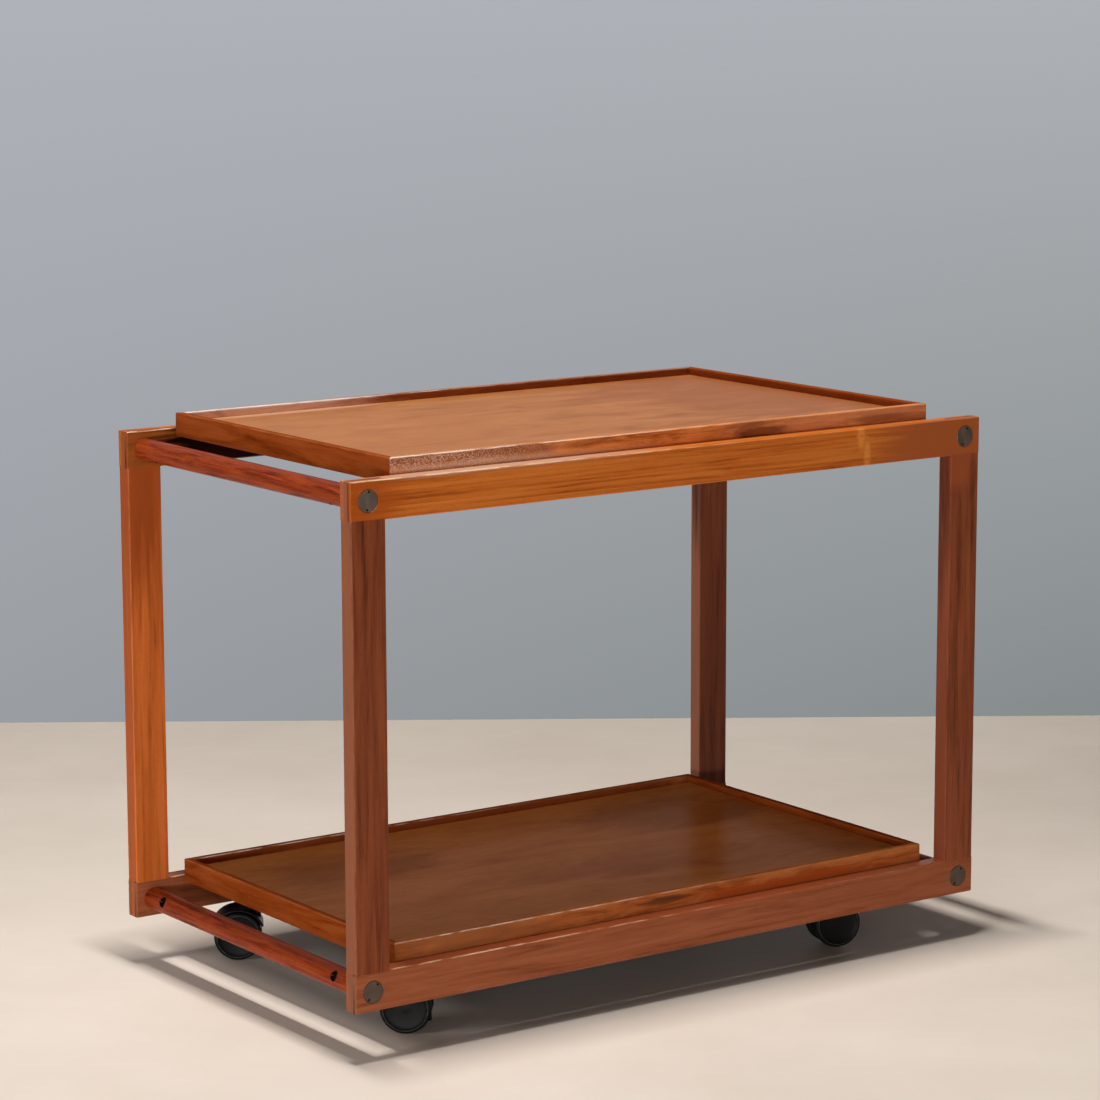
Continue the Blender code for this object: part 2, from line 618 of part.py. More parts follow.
def make_king_pin(name):
    """The pin the body swivels on, with a collar under the plate that takes the load."""
    pin = KING_PIN_DIAMETER / 2
    collar = COLLAR_DIAMETER / 2
    collar_foot = PLATE_UNDERSIDE - COLLAR_THICKNESS
    foot = BOSS_FOOT_HEIGHT + PIN_END_RISE
    inside_plate = PLATE_UNDERSIDE + PLATE_THICKNESS / 2
    profile = [(0, inside_plate), (collar, inside_plate), (collar, collar_foot),
               (pin, collar_foot), (pin, foot), (0, foot)]
    return turned(name, profile, PIN_FACETS, CUTTERS)


def make_screw(name):
    """A pan-head screw, head down under the plate and shank up into the bearer."""
    shank = SCREW_DIAMETER / 2
    head = SCREW_HEAD_DIAMETER / 2
    inside_plate = PLATE_UNDERSIDE + PLATE_THICKNESS / 2
    tip = PLATE_UNDERSIDE + SCREW_LENGTH
    foot = PLATE_UNDERSIDE - SCREW_HEAD_HEIGHT
    profile = [(0, tip), (shank, tip - SCREW_POINT), (shank, inside_plate), (head, inside_plate),
               (head, PLATE_UNDERSIDE - SCREW_HEAD_HEIGHT / 2), (head / 2, foot), (0, foot)]
    return turned(name, profile, SCREW_FACETS, CUTTERS)


clear_scene()
PARTS = make_collection("serving_trolley")
CUTTERS = make_collection("cutters")
WOOD_RAIL = make_material("oiled hardwood rail", (0.36, 0.092, 0.016), 0.42)
WOOD_LEG = make_material("oiled hardwood leg", (0.150, 0.040, 0.014), 0.45)
WOOD_ROD = make_material("oiled hardwood rod", (0.290, 0.055, 0.017), 0.38)
WOOD_RIM = make_material("oiled hardwood tray rim", (0.350, 0.095, 0.022), 0.40)
WOOD_PANEL = make_material("veneered tray panel", (0.480, 0.205, 0.095), 0.36)
WOOD_BEARER = make_material("plain hardwood bearer", (0.300, 0.120, 0.050), 0.60)
STEEL = make_material("dark turned steel", (0.080, 0.062, 0.050), 0.38, 1.0)
ZINC = make_material("zinc-plated steel", (0.420, 0.420, 0.400), 0.35, 1.0)
PLASTIC = make_material("black moulded nylon", (0.014, 0.014, 0.014), 0.42)
TREAD = make_material("black wheel nylon", (0.016, 0.016, 0.016), 0.36)

for frame_side in SIDES:
    for frame_level in ("top", "bottom"):
        make_rail(frame_side, frame_level)
    for frame_end in ENDS:
        make_leg(frame_side, frame_end)
for frame_end in ENDS:
    for frame_level in ("top", "bottom"):
        make_rod(frame_end, frame_level)
        make_bearer(frame_end, frame_level)
        for frame_side in SIDES:
            make_bolt(frame_side, frame_end, frame_level)
            make_barrel_nut(frame_side, frame_end, frame_level)
make_tray("top", TOP_BEARER_TOP + JOINT_GAP)
make_tray("bottom", BOTTOM_BEARER_TOP + JOINT_GAP)
for caster_corner in CASTER_TURNS:
    make_caster(caster_corner)
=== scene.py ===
"""The looks of a serving trolley: oiled hardwood, dark turned steel and black moulded nylon.

Metres, +Z up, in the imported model's frame: X runs along the trolley and the near side faces -Y.
"""
import json
from itertools import count
from math import atan2, cos, hypot, pi, radians, sin

import bmesh
import bpy
from mathutils import Matrix, Vector


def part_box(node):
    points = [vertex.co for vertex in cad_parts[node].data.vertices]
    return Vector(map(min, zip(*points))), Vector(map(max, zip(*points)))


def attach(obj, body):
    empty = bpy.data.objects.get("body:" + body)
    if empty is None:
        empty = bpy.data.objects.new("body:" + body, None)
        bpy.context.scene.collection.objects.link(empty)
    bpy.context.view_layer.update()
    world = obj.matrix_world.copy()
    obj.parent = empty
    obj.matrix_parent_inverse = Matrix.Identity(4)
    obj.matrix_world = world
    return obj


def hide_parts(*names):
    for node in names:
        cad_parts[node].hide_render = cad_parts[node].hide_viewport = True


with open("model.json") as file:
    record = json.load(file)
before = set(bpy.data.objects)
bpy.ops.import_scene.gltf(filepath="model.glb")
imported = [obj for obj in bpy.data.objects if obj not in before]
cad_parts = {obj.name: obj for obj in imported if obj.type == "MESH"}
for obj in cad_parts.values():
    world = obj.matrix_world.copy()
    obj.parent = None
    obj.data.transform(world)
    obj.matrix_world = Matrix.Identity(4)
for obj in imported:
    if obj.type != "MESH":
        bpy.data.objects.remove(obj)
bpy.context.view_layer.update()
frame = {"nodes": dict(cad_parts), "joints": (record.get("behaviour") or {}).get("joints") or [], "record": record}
MM = 0.001

# The photograph's view, in its own pixels
PHOTO_WIDTH = 1100
FOCAL_PIXELS = 3679.7
SENSOR_WIDTH = 36
CAMERA_PLACE = Vector((-2.1379, -3.0099, 1.0494))
CAMERA_HEADING = radians(35.324)
CAMERA_DIP = radians(9.687)
CAMERA_ROLL = radians(-0.144)

# Stage and light
WALL_DISTANCE = 4.806
WALL_TURN = radians(1.1)
STAGE_REACH = 14.0
WALL_TOP = 0.95
WALL_HALF_WIDTH = 0.72
FLOOR_PATCHES_PER_METRE = 2.2
# The floor darkens away from the front, a painted fall-off of the light: the way it darkens, and where that starts
# and ends along it in metres
FLOOR_FALL = (0.85, 0.6, 0)
FLOOR_NEAR = -1.2
FLOOR_FAR = 2.6
SKY_STRENGTH = 0.03
KEY_X, KEY_Y = -0.314, -0.119
MIDDLE = (0, 0, 0.3)
# Each soft box has its place, what it is aimed at, its size in metres and its power in watts
SOFT_BOXES = {"overhead softbox": ((KEY_X, KEY_Y, 4.196), (KEY_X, KEY_Y, 0), (0.18, 0.9), 126),
              "front fill": ((-3.5, -3.1, 0.28), MIDDLE, (3.4, 0.5), 92),
              "back fill": ((3.4, 3.2, 0.28), MIDDLE, (3.4, 0.5), 45),
              "left fill": ((-3.3, -0.1, 2.35), MIDDLE, (1.6, 1.2), 42)}

# Wood members. A face whose normal lies this near to an axis is a flat, and any other an arris
SQUARE_ABOVE = 0.985
EASE = 0.22 * MM
EASE_SEGMENTS = 2
SHARP_FROM = radians(15)
FLAT_WITHIN = radians(0.5)
SMOOTH_BELOW = radians(50)
MERGE_DISTANCE = 0.01 * MM
BOX_REACH = 1.4 * MM
UPWARD_FROM = 0.3
# The share of the pale arris line, partly thinned lacquer and partly painted highlight, on arrises that don't face
# up to the overhead light
LOWER_ARRIS = 0.12
RAIL_HEIGHT = 37.5 * MM
FRAME_ARRIS = 1.2 * MM
TENON_HALF = 3 * MM
JOINT_GAP = 0.3 * MM
GLUE_FILL = 0.25 * MM

# Pale arrises, partly thinned lacquer and partly painted highlight, and painted glints in the pores,
# both strongest at the left end under the overhead light: places along X in metres, where each
# starts and where it is full
WEAR_AND_HIGHLIGHT_FROM = 0.10
WEAR_AND_HIGHLIGHT_FULL = -0.22
WEAR_AND_HIGHLIGHT_LEAST = 0.08
GLINT_FROM = -0.12
GLINT_FULL = -0.25
TOP_RIM_GLINT = 0.6
END_RIM_WEAR_AND_HIGHLIGHT = 0.1

# Grain. Real pores and fibres are near 0.2 mm wide, too fine to show, so they are drawn coarser
FIBRE_LENGTH = 24 * MM
FIBRE_WIDTH = 0.9 * MM
FIBRE_SHARE = 0.3
PORE_LENGTH = 5 * MM
PORE_WIDTH = 0.5 * MM
SPECK_WIDTH = 0.8 * MM
SPECK_LENGTH = 1.6 * SPECK_WIDTH
FLECK_LENGTH = 3 * SPECK_WIDTH
ARRIS_STREAK_LENGTH = 26 * MM
ARRIS_STREAK_WIDTH = 3 * MM
ARRIS_FADE = 4
# The wave texture draws 20 rings in 2 pi units; along the grain they are drawn out this far
RING_WAVES = 20
RING_STRETCH = 40
# The colour ramp's places about its middle tone, and how a patch's rim follows the figure
TONE_MIDDLE = 0.65
TONE_PLACES = (-0.22, -0.10, 0.0, 0.17)
PATCH_RAG = 1.6
PATCH_RIM = 1.95
PATCH_FULL = 1.35
BOARD_STEPS = (0.731, 0.173, 0.097)

# Steel and nylon. Spark-eroded grain is near 0.1 mm, too fine to show, so it is drawn coarser
MOTTLE_SIZE = 2.5 * MM
DUST_SIZE = 9 * MM
GRIT_SIZE = 0.4 * MM
# Painted shade for the holes and the gap round a bolt head
HOLLOW_SHADE_COLOUR = "#090706"
# A paler tone on the wheels' bead crest, partly scuffs and partly a painted highlight ring
SCUFF_AND_HIGHLIGHT_COLOUR = "#484843"

# Turned pieces. A facing cut is near 0.15 mm wide, too fine to show, so it is drawn coarser
SEAM_DISTANCE = 0.001 * MM
CUT_OVERRUN = 2 * MM
ROD_CHAMFER = 0.6 * MM
ROD_STEPS = 96
NUT_HOLE_DIAMETER = 10.6 * MM
NUT_HOLE_DEPTH = 19.3 * MM
NUT_HOLE_STEPS = 48
NUT_DIAMETER = 10 * MM
NUT_LENGTH = 16 * MM
NUT_CHAMFER = 0.5 * MM
NUT_BORE_DIAMETER = 6.6 * MM
TOP_NUT_ANGLE = radians(257)
BOTTOM_NUT_ANGLE = radians(155)
HEAD_THICKNESS = 3.2 * MM
HEAD_CHAMFER = 0.4 * MM
SHANK_DIAMETER = 6 * MM
HEAD_STEPS = 72
TURNING_PITCH = 0.45 * MM
TURNING_DEPTH = 0.028 * MM
TURNING_POINTS = 4
SPANNER_HOLE_DIAMETER = 2.2 * MM
SPANNER_HOLE_DEPTH = 1.8 * MM
SPANNER_HOLE_RADIUS = 8.4 * MM
SPANNER_HOLE_STEPS = 24
HEAD_TURNS = {"near_left_top": radians(6), "near_left_bottom": radians(35),
              "near_right_top": radians(18), "near_right_bottom": radians(30),
              "far_left_top": radians(52), "far_left_bottom": radians(74),
              "far_right_top": radians(12), "far_right_bottom": radians(-40)}

# Wheels
WHEEL_WIDTH = 11.5 * MM
WHEEL_SPACING = 11 * MM
WHEEL_STEPS = 96
TREAD_ROUND = 2.4 * MM
BEAD_RADIUS = 21.6 * MM
BEAD_HALF_WIDTH = 0.55 * MM
BEAD_RISE = 0.7 * MM
BEAD_SUNK_SHARE = 0.25
BEAD_CREST_SHARE = 0.85
BAND_DROP = 0.6 * MM
DISH_RADIUS = 20.4 * MM
DISH_DEPTH = 3.4 * MM
DISH_WALL_DROP = 1.6 * MM
HUB_RADIUS = 4.6 * MM
HUB_RISE = 0.25 * MM
BORE_RADIUS = 3.3 * MM
BORE_DEPTH = 6.5 * MM
ROUND_POINTS = 6

# Caster bodies, modelled about the swivel's axis with the wheels trailing to +X
HOOD_INNER_RADIUS = 26.6 * MM
HOOD_OUTER_RADIUS = 28.4 * MM
HOOD_WIDTH = 33 * MM
HOOD_ROUND = 1.5 * MM
HOOD_REAR = radians(28)
HOOD_FRONT = radians(158)
HOOD_STEPS = 60
WEB_THICKNESS = 7 * MM
WEB_SETBACK = radians(4)
WEB_FOOT_RADIUS = 9.5 * MM
WEB_FOOT_RISE = 2 * MM
BOSS_RADIUS = 5 * MM
BOSS_CAP_RADIUS = 7 * MM
BOSS_FOOT = 10 * MM
BOSS_RISE = 3.5 * MM
BOSS_EASE = 0.6 * MM
AXLE_DIAMETER = 6 * MM
AXLE_LENGTH = 23.4 * MM
KING_BORE_DIAMETER = 6.1 * MM
BODY_STEPS = 48

# Mounting plates, each with its king pin riveted in and four pan-head screws
PLATE_SIZE = 40 * MM
PLATE_THICKNESS = 2.5 * MM
PLATE_CORNER = 4 * MM
PLATE_CORNER_STEPS = 8
PLATE_EASE = 0.4 * MM
KING_PIN_RADIUS = 2.75 * MM
KING_PIN_FOOT = 12 * MM
COLLAR_RADIUS = 5.5 * MM
COLLAR_THICKNESS = 1.2 * MM
SCREW_SPACING = 30 * MM
SCREW_RADIUS = 1.75 * MM
SCREW_HEAD_RADIUS = 3.5 * MM
SCREW_HEAD_HEIGHT = 2.2 * MM
SCREW_LENGTH = 13 * MM
SCREW_POINT = 3 * MM
SCREW_STEPS = 32
RECESS_LENGTH = 3.6 * MM
RECESS_WIDTH = 0.8 * MM
RECESS_DEPTH = 1.1 * MM

SIDES = ("near", "far")
ENDS = ("left", "right")
LEVELS = ("top", "bottom")
CORNERS = [f"{side}_{end}" for end in ENDS for side in SIDES]
BOARDS = count(1)


def linear(code):
    """An sRGB hex colour as linear RGBA."""
    channels = [int(code[i:i + 2], 16) / 255 for i in (1, 3, 5)]
    return [c / 12.92 if c <= 0.04045 else ((c + 0.055) / 1.055) ** 2.4 for c in channels] + [1.0]


def add(tree, kind, inputs=None, stops=(), **settings):
    """Add a node with its settings; each input is a value or the socket that feeds it, and a
    colour ramp takes its stops, each a place and a colour."""
    made = tree.nodes.new(kind)
    for name, value in settings.items():
        setattr(made, name, value)
    for key, value in (inputs or {}).items():
        if isinstance(value, bpy.types.NodeSocket):
            tree.links.new(value, made.inputs[key])
        else:
            made.inputs[key].default_value = value
    if stops:
        elements = made.color_ramp.elements
        while len(elements) < len(stops):
            elements.new(0.5)
        for element, (place, colour) in zip(elements, stops):
            element.position = place
            element.color = colour
    return made


def new_material(name):
    """An empty node material and its tree."""
    material = bpy.data.materials.new(name)
    material.use_nodes = True
    material.node_tree.nodes.clear()
    return material, material.node_tree


def oiled_wood(name, tones, worn_and_glint, edge, figure=(160, 9), rings=(4.5, 0.2), roughness=0.42,
               sheen=0.05, flecks=0.0, wear_and_highlight_reach=400, unseen="#120904", patches=()):
    """Oiled and lacquered hardwood, planed along its grain.

    Streaks a few millimetres wide run the length of each board, with finer fibres and short open
    pores in them. The arrises are paler, partly thinned lacquer and partly a painted highlight of
    the overhead light, and the pores show pale specks that are painted glints of that light; both
    are strongest at the trolley's left end, where that light falls. The board's narrow edges have a
    tone of their own, partly from the cut and partly painted light, set for how the light falls on
    each piece. Bored holes are painted dark as shade, and a panel's underside has its own tone, set
    for how much light it throws onto what lies below.

    Figure is the streaks' length and width in mm, rings the growth rings' pitch in mm and their
    share of the tone, and the reach argument the place along X in mm where the pale arrises end.
    Patches are this board's own knots and cross figure, its faded and reddened places, and some
    painted light: painted shadow and shade, reflections and glints. Each has its colour, its centre
    and half size in mm, and its strength. The other colours are those of the pale arrises and the
    painted glints, of the narrow edges, and of the holes and undersides.
    """
    ring_pitch, ring_share = rings[0] * MM, rings[1]
    streak = linear(tones[0])
    material, tree = new_material(name)
    grain = add(tree, "ShaderNodeAttribute", attribute_name="grain").outputs["Vector"]
    here = add(tree, "ShaderNodeTexCoord").outputs["Object"]
    marks = {mark: add(tree, "ShaderNodeAttribute", attribute_name=mark).outputs["Fac"]
             for mark in ("arris", "edge", "wear", "dry", "unseen")}

    def streaks(length, width, detail=3.0, distortion=0.0):
        """Cloudy streaks drawn out along the grain."""
        place = add(tree, "ShaderNodeMapping",
                    {"Vector": grain, "Scale": (1 / length, 1 / width, 1 / width)})
        return add(tree, "ShaderNodeTexNoise",
                   {"Vector": place.outputs["Vector"], "Scale": 1.0, "Detail": detail,
                    "Roughness": 0.6, "Distortion": distortion}).outputs["Fac"]

    def specks(length, width, level, softness=0.12, detail=1.0, strength=1.0):
        """Where streaks pass a level, with a soft edge."""
        return add(tree, "ShaderNodeMapRange",
                   {"Value": streaks(length, width, detail), "From Min": level,
                    "From Max": level + softness, "To Max": strength}).outputs["Result"]

    def spot(centre, size, strength):
        """A place on the board, its rim made ragged by the figure."""
        away = add(tree, "ShaderNodeVectorMath", {0: here, 1: [part * MM for part in centre]},
                   operation="SUBTRACT").outputs["Vector"]
        share = add(tree, "ShaderNodeVectorMath", {0: away, 1: [1 / (part * MM) for part in size]},
                    operation="MULTIPLY").outputs["Vector"]
        share = add(tree, "ShaderNodeVectorMath", {0: share}, operation="LENGTH").outputs["Value"]
        ragged = add(tree, "ShaderNodeMath", {0: board, 1: PATCH_RAG, 2: share},
                     operation="MULTIPLY_ADD").outputs[0]
        return add(tree, "ShaderNodeMapRange",
                   {"Value": ragged, "From Min": PATCH_RIM, "From Max": PATCH_FULL,
                    "To Max": strength}).outputs["Result"]

    board = streaks(figure[0] * MM, figure[1] * MM, 5.0, 0.8)
    fibre = streaks(FIBRE_LENGTH, FIBRE_WIDTH)
    pore = specks(PORE_LENGTH, PORE_WIDTH, 0.60)
    wave = 2 * pi / RING_WAVES
    ring_place = add(tree, "ShaderNodeMapping",
                     {"Vector": grain,
                      "Scale": (wave / (ring_pitch * RING_STRETCH), wave / ring_pitch,
                                wave / ring_pitch)}).outputs["Vector"]
    ring = add(tree, "ShaderNodeTexWave",
               {"Vector": ring_place, "Scale": 1.0, "Distortion": 6.0, "Detail": 2.0,
                "Detail Scale": 1.0, "Detail Roughness": 0.5}, wave_type="RINGS",
               rings_direction="X", wave_profile="SAW").outputs["Fac"]
    tone = add(tree, "ShaderNodeMath", {0: ring, 1: ring_share, 2: board},
               operation="MULTIPLY_ADD").outputs[0]
    tone = add(tree, "ShaderNodeMath", {0: fibre, 1: FIBRE_SHARE, 2: tone},
               operation="MULTIPLY_ADD").outputs[0]
    middle = TONE_MIDDLE + ring_share / 2
    colour = add(tree, "ShaderNodeValToRGB", {"Fac": tone},
                 stops=[(middle + place, linear(code)) for place, code in zip(TONE_PLACES, tones)]
                 ).outputs["Color"]

    x = add(tree, "ShaderNodeSeparateXYZ", {"Vector": here}).outputs["X"]
    reach = add(tree, "ShaderNodeMath", {0: x}, operation="ABSOLUTE").outputs[0]
    glinting = add(tree, "ShaderNodeMapRange",
                {"Value": x, "From Min": GLINT_FROM, "From Max": GLINT_FULL}).outputs["Result"]
    wear_and_highlight_ramp = add(tree, "ShaderNodeMapRange",
                 {"Value": x, "From Min": WEAR_AND_HIGHLIGHT_FROM, "From Max": WEAR_AND_HIGHLIGHT_FULL,
                  "To Min": WEAR_AND_HIGHLIGHT_LEAST}).outputs["Result"]
    within = add(tree, "ShaderNodeMapRange",
                 {"Value": reach, "From Min": wear_and_highlight_reach * MM,
                  "From Max": (wear_and_highlight_reach - ARRIS_FADE) * MM}).outputs["Result"]
    # Laid over the tone in turn: pores; narrow edges, partly their cut and partly painted light; patches, some of
    # them painted shadow, shade, reflections and glints; painted glints in the pores; dark flecks; pale arrises,
    # partly thinned lacquer and partly painted highlight; holes painted dark as shade, and undersides
    layers = [((pore, 0.4), streak), ((marks["edge"], 0.7), linear(edge))]
    layers += [((spot(*place),), linear(tint)) for tint, *place in patches]
    layers += [((specks(SPECK_LENGTH, SPECK_WIDTH, 0.50), marks["dry"], glinting), linear(worn_and_glint)),
               ((specks(FLECK_LENGTH, SPECK_WIDTH, 0.56, strength=flecks),), streak),
               ((specks(ARRIS_STREAK_LENGTH, ARRIS_STREAK_WIDTH, 0.40, 0.16, 3.0), marks["arris"], marks["wear"],
                 wear_and_highlight_ramp, within), linear(worn_and_glint)),
               ((marks["unseen"],), linear(unseen))]
    for shares, tint in layers:
        share = shares[0]
        for other in shares[1:]:
            share = add(tree, "ShaderNodeMath", {0: share, 1: other},
                        operation="MULTIPLY").outputs[0]
        colour = add(tree, "ShaderNodeMix", {"Factor": share, 6: colour, 7: tint},
                     data_type="RGBA").outputs[2]

    gloss = add(tree, "ShaderNodeMapRange",
                {"Value": fibre, "From Min": 0.3, "From Max": 0.7, "To Min": roughness - 0.05,
                 "To Max": roughness + 0.07}).outputs["Result"]
    relief = add(tree, "ShaderNodeMath", {0: fibre, 1: 0.5, 2: pore},
                 operation="MULTIPLY_ADD").outputs[0]
    bump = add(tree, "ShaderNodeBump", {"Height": relief, "Strength": 0.3,
                                        "Distance": 0.05 * MM}, invert=True)
    shader = add(tree, "ShaderNodeBsdfPrincipled",
                 {"Base Color": colour, "Roughness": gloss, "Specular IOR Level": sheen,
                  "Normal": bump.outputs["Normal"]})
    add(tree, "ShaderNodeOutputMaterial", {"Surface": shader.outputs["BSDF"]})
    return material


def turned_steel(name, dark, light, roughness, faced=0.0):
    """Steel worked on a lathe: the shape holds the rings, and this the oil-dark mottling, the
    light that fine tool marks draw out across the rings, and painted shade in holes and gaps."""
    material, tree = new_material(name)
    place = add(tree, "ShaderNodeTexCoord").outputs["Object"]
    mottle = add(tree, "ShaderNodeTexNoise",
                 {"Vector": place, "Scale": 1 / MOTTLE_SIZE, "Detail": 4.0}).outputs["Fac"]
    colour = add(tree, "ShaderNodeValToRGB", {"Fac": mottle},
                 stops=[(0.35, linear(dark)), (0.70, linear(light))]).outputs["Color"]
    hollow_shade = add(tree, "ShaderNodeAttribute", attribute_name="hollow_shade").outputs["Fac"]
    colour = add(tree, "ShaderNodeMix", {"Factor": hollow_shade, 6: colour, 7: linear(HOLLOW_SHADE_COLOUR)},
                 data_type="RGBA").outputs[2]
    gloss = add(tree, "ShaderNodeMapRange",
                {"Value": mottle, "To Min": roughness - 0.05, "To Max": roughness + 0.08})
    shader = add(tree, "ShaderNodeBsdfPrincipled",
                 {"Base Color": colour, "Metallic": 1.0, "Roughness": gloss.outputs["Result"]})
    if faced:
        shader.inputs["Anisotropic"].default_value = faced
        rings = add(tree, "ShaderNodeAttribute", attribute_name="rings").outputs["Vector"]
        tree.links.new(rings, shader.inputs["Tangent"])
    add(tree, "ShaderNodeOutputMaterial", {"Surface": shader.outputs["BSDF"]})
    return material


def moulded_nylon(name, black, dusty, roughness):
    """Black injection-moulded nylon: fine spark-eroded grain, a little dust in uneven patches, and
    a paler tone on what stands proud, partly scuffs and partly a painted highlight."""
    material, tree = new_material(name)
    place = add(tree, "ShaderNodeTexCoord").outputs["Object"]
    dust = add(tree, "ShaderNodeTexNoise",
               {"Vector": place, "Scale": 1 / DUST_SIZE, "Detail": 5.0}).outputs["Fac"]
    dust = add(tree, "ShaderNodeMapRange",
               {"Value": dust, "From Min": 0.45, "From Max": 0.8, "To Max": 0.5}).outputs["Result"]
    scuff_and_highlight = add(tree, "ShaderNodeAttribute", attribute_name="scuff_and_highlight").outputs["Fac"]
    colour = linear(black)
    for share, tint in ((dust, dusty), (scuff_and_highlight, SCUFF_AND_HIGHLIGHT_COLOUR)):
        colour = add(tree, "ShaderNodeMix", {"Factor": share, 6: colour, 7: linear(tint)},
                     data_type="RGBA").outputs[2]
    grit = add(tree, "ShaderNodeTexNoise",
               {"Vector": place, "Scale": 1 / GRIT_SIZE, "Detail": 2.0}).outputs["Fac"]
    bump = add(tree, "ShaderNodeBump", {"Height": grit, "Strength": 0.25, "Distance": 0.03 * MM})
    shader = add(tree, "ShaderNodeBsdfPrincipled",
                 {"Base Color": colour, "Roughness": roughness, "Specular IOR Level": 0.15,
                  "Normal": bump.outputs["Normal"]})
    add(tree, "ShaderNodeOutputMaterial", {"Surface": shader.outputs["BSDF"]})
    return material


def new_object(name, data):
    """A new object, linked to the scene."""
    made = bpy.data.objects.new(name, data)
    bpy.context.scene.collection.objects.link(made)
    return made


def body_of(node):
    """The body that a node belongs to."""
    for body, nodes in frame["record"]["behaviour"]["bodies"].items():
        if node in nodes:
            return body


def finish_piece(name, mesh, material, node):
    """Link a finished mesh as the piece that stands for a node and rides on its body."""
    piece = new_object(name, mesh)
    mesh.materials.clear()
    mesh.materials.append(material)
    mesh.shade_smooth()
    mesh.set_sharp_from_angle(angle=SMOOTH_BELOW)
    weighted = piece.modifiers.new("flat faces", "WEIGHTED_NORMAL")
    weighted.keep_sharp = True
    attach(piece, body_of(node))
    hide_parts(node)


def on_outer_edge(edge, low, high):
    """True for an edge that lies along the rim of the piece's box, not at a hole or recess."""
    middle = (edge.verts[0].co + edge.verts[1].co) / 2
    close = [min(middle[axis] - low[axis], high[axis] - middle[axis]) < BOX_REACH
             for axis in range(3)]
    return sum(close) >= 2


def note(mesh, name, kind, domain, values):
    """Write one attribute of a mesh."""
    field = "vector" if kind == "FLOAT_VECTOR" else "value"
    mesh.attributes.new(name, kind, domain).data.foreach_set(field, values)


def looks_down(face):
    """True for a face of a panel's underside."""
    return face.normal.z < -UPWARD_FROM


def note_wood(mesh, axis, edge_axes=(), dry=0.0, wear=1.0, is_unseen=None):
    """Write what the wood finish reads: each point's place in its board, how strong its pale arrises
    (partly thinned lacquer, partly painted highlight) and its painted glints are, and which faces
    are arrises, narrow edges and out of sight."""
    order = (axis, (axis + 1) % 3, (axis + 2) % 3)
    board = next(BOARDS)
    offset = Vector([step * board for step in BOARD_STEPS])
    grain = []
    for vertex in mesh.vertices:
        grain += [vertex.co[order[i]] + offset[i] for i in range(3)]
    note(mesh, "grain", "FLOAT_VECTOR", "POINT", grain)
    note(mesh, "wear", "FLOAT", "POINT", [wear] * len(mesh.vertices))
    note(mesh, "dry", "FLOAT", "POINT", [dry] * len(mesh.vertices))
    arris, edge = [], []
    for face in mesh.polygons:
        parts = [abs(part) for part in face.normal]
        square = max(parts) > SQUARE_ABOVE
        looks_up = face.normal.z > UPWARD_FROM
        # Arrises facing up take the full pale line, partly thinned lacquer and partly painted highlight of the
        # overhead light; the rest take a small share
        arris.append(0.0 if square else 1.0 if looks_up else LOWER_ARRIS)
        edge.append(1.0 if square and parts.index(max(parts)) in edge_axes else 0.0)
    note(mesh, "arris", "FLOAT", "FACE", arris)
    note(mesh, "edge", "FLOAT", "FACE", edge)
    if is_unseen:
        note(mesh, "unseen", "FLOAT", "FACE", [float(is_unseen(face)) for face in mesh.polygons])


def close_bridle_joints(bm, low, high):
    """Fill a leg's glue lines: its tenons are thickened, and its cheeks run on over the rails'
    eased arrises, as they do once a glued frame is cleaned up."""
    middle = (low.y + high.y) / 2
    shoulder = RAIL_HEIGHT + JOINT_GAP
    for vertex in bm.verts:
        across = vertex.co.y - middle
        if abs(across) < TENON_HALF + JOINT_GAP:
            vertex.co.y += GLUE_FILL if across > 0 else -GLUE_FILL
        if abs(vertex.co.z - low.z - shoulder) < MERGE_DISTANCE:
            vertex.co.z -= JOINT_GAP + FRAME_ARRIS
        elif abs(high.z - vertex.co.z - shoulder) < MERGE_DISTANCE:
            vertex.co.z += JOINT_GAP + FRAME_ARRIS


def mesh_from(bm, name):
    """The plain mesh of a finished bmesh."""
    mesh = bpy.data.meshes.new(name)
    bm.to_mesh(mesh)
    bm.free()
    return mesh


def wood_member(node, axis, material, slot, **marks):
    """A sawn member: the node's own solid with its flats merged and its outer edges eased."""
    bm = bmesh.new()
    bm.from_mesh(frame["nodes"][node].data)
    bmesh.ops.remove_doubles(bm, verts=bm.verts, dist=MERGE_DISTANCE)
    bmesh.ops.dissolve_limit(bm, angle_limit=FLAT_WITHIN, verts=bm.verts, edges=bm.edges)
    low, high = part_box(node)
    if slot == "leg_wood":
        close_bridle_joints(bm, low, high)
    sharp = [edge for edge in bm.edges if edge.is_manifold and edge.calc_face_angle() > SHARP_FROM
             and on_outer_edge(edge, low, high)]
    bmesh.ops.bevel(bm, geom=sharp, offset=EASE, offset_type="OFFSET", segments=EASE_SEGMENTS,
                    profile=0.5, affect="EDGES", clamp_overlap=True)
    mesh = mesh_from(bm, node + "_finished")
    note_wood(mesh, axis, **marks)
    finish_piece(node + "_finished", mesh, material, node)


def new_tree(name, inputs):
    """A Geometry Nodes tree with named inputs, ending in real meshes with their finish set."""
    tree = bpy.data.node_groups.new(name, "GeometryNodeTree")
    for title, kind in inputs + (("Finish", "Material"),):
        tree.interface.new_socket(name=title, in_out="INPUT", socket_type="NodeSocket" + kind)
    tree.interface.new_socket(name="Made", in_out="OUTPUT", socket_type="NodeSocketGeometry")
    given = add(tree, "NodeGroupInput").outputs
    real = add(tree, "GeometryNodeRealizeInstances")
    finished = add(tree, "GeometryNodeSetMaterial",
                   {"Geometry": real.outputs["Geometry"], "Material": given["Finish"]})
    add(tree, "NodeGroupOutput", {"Made": finished.outputs["Geometry"]})
    return tree, given, real.inputs["Geometry"]


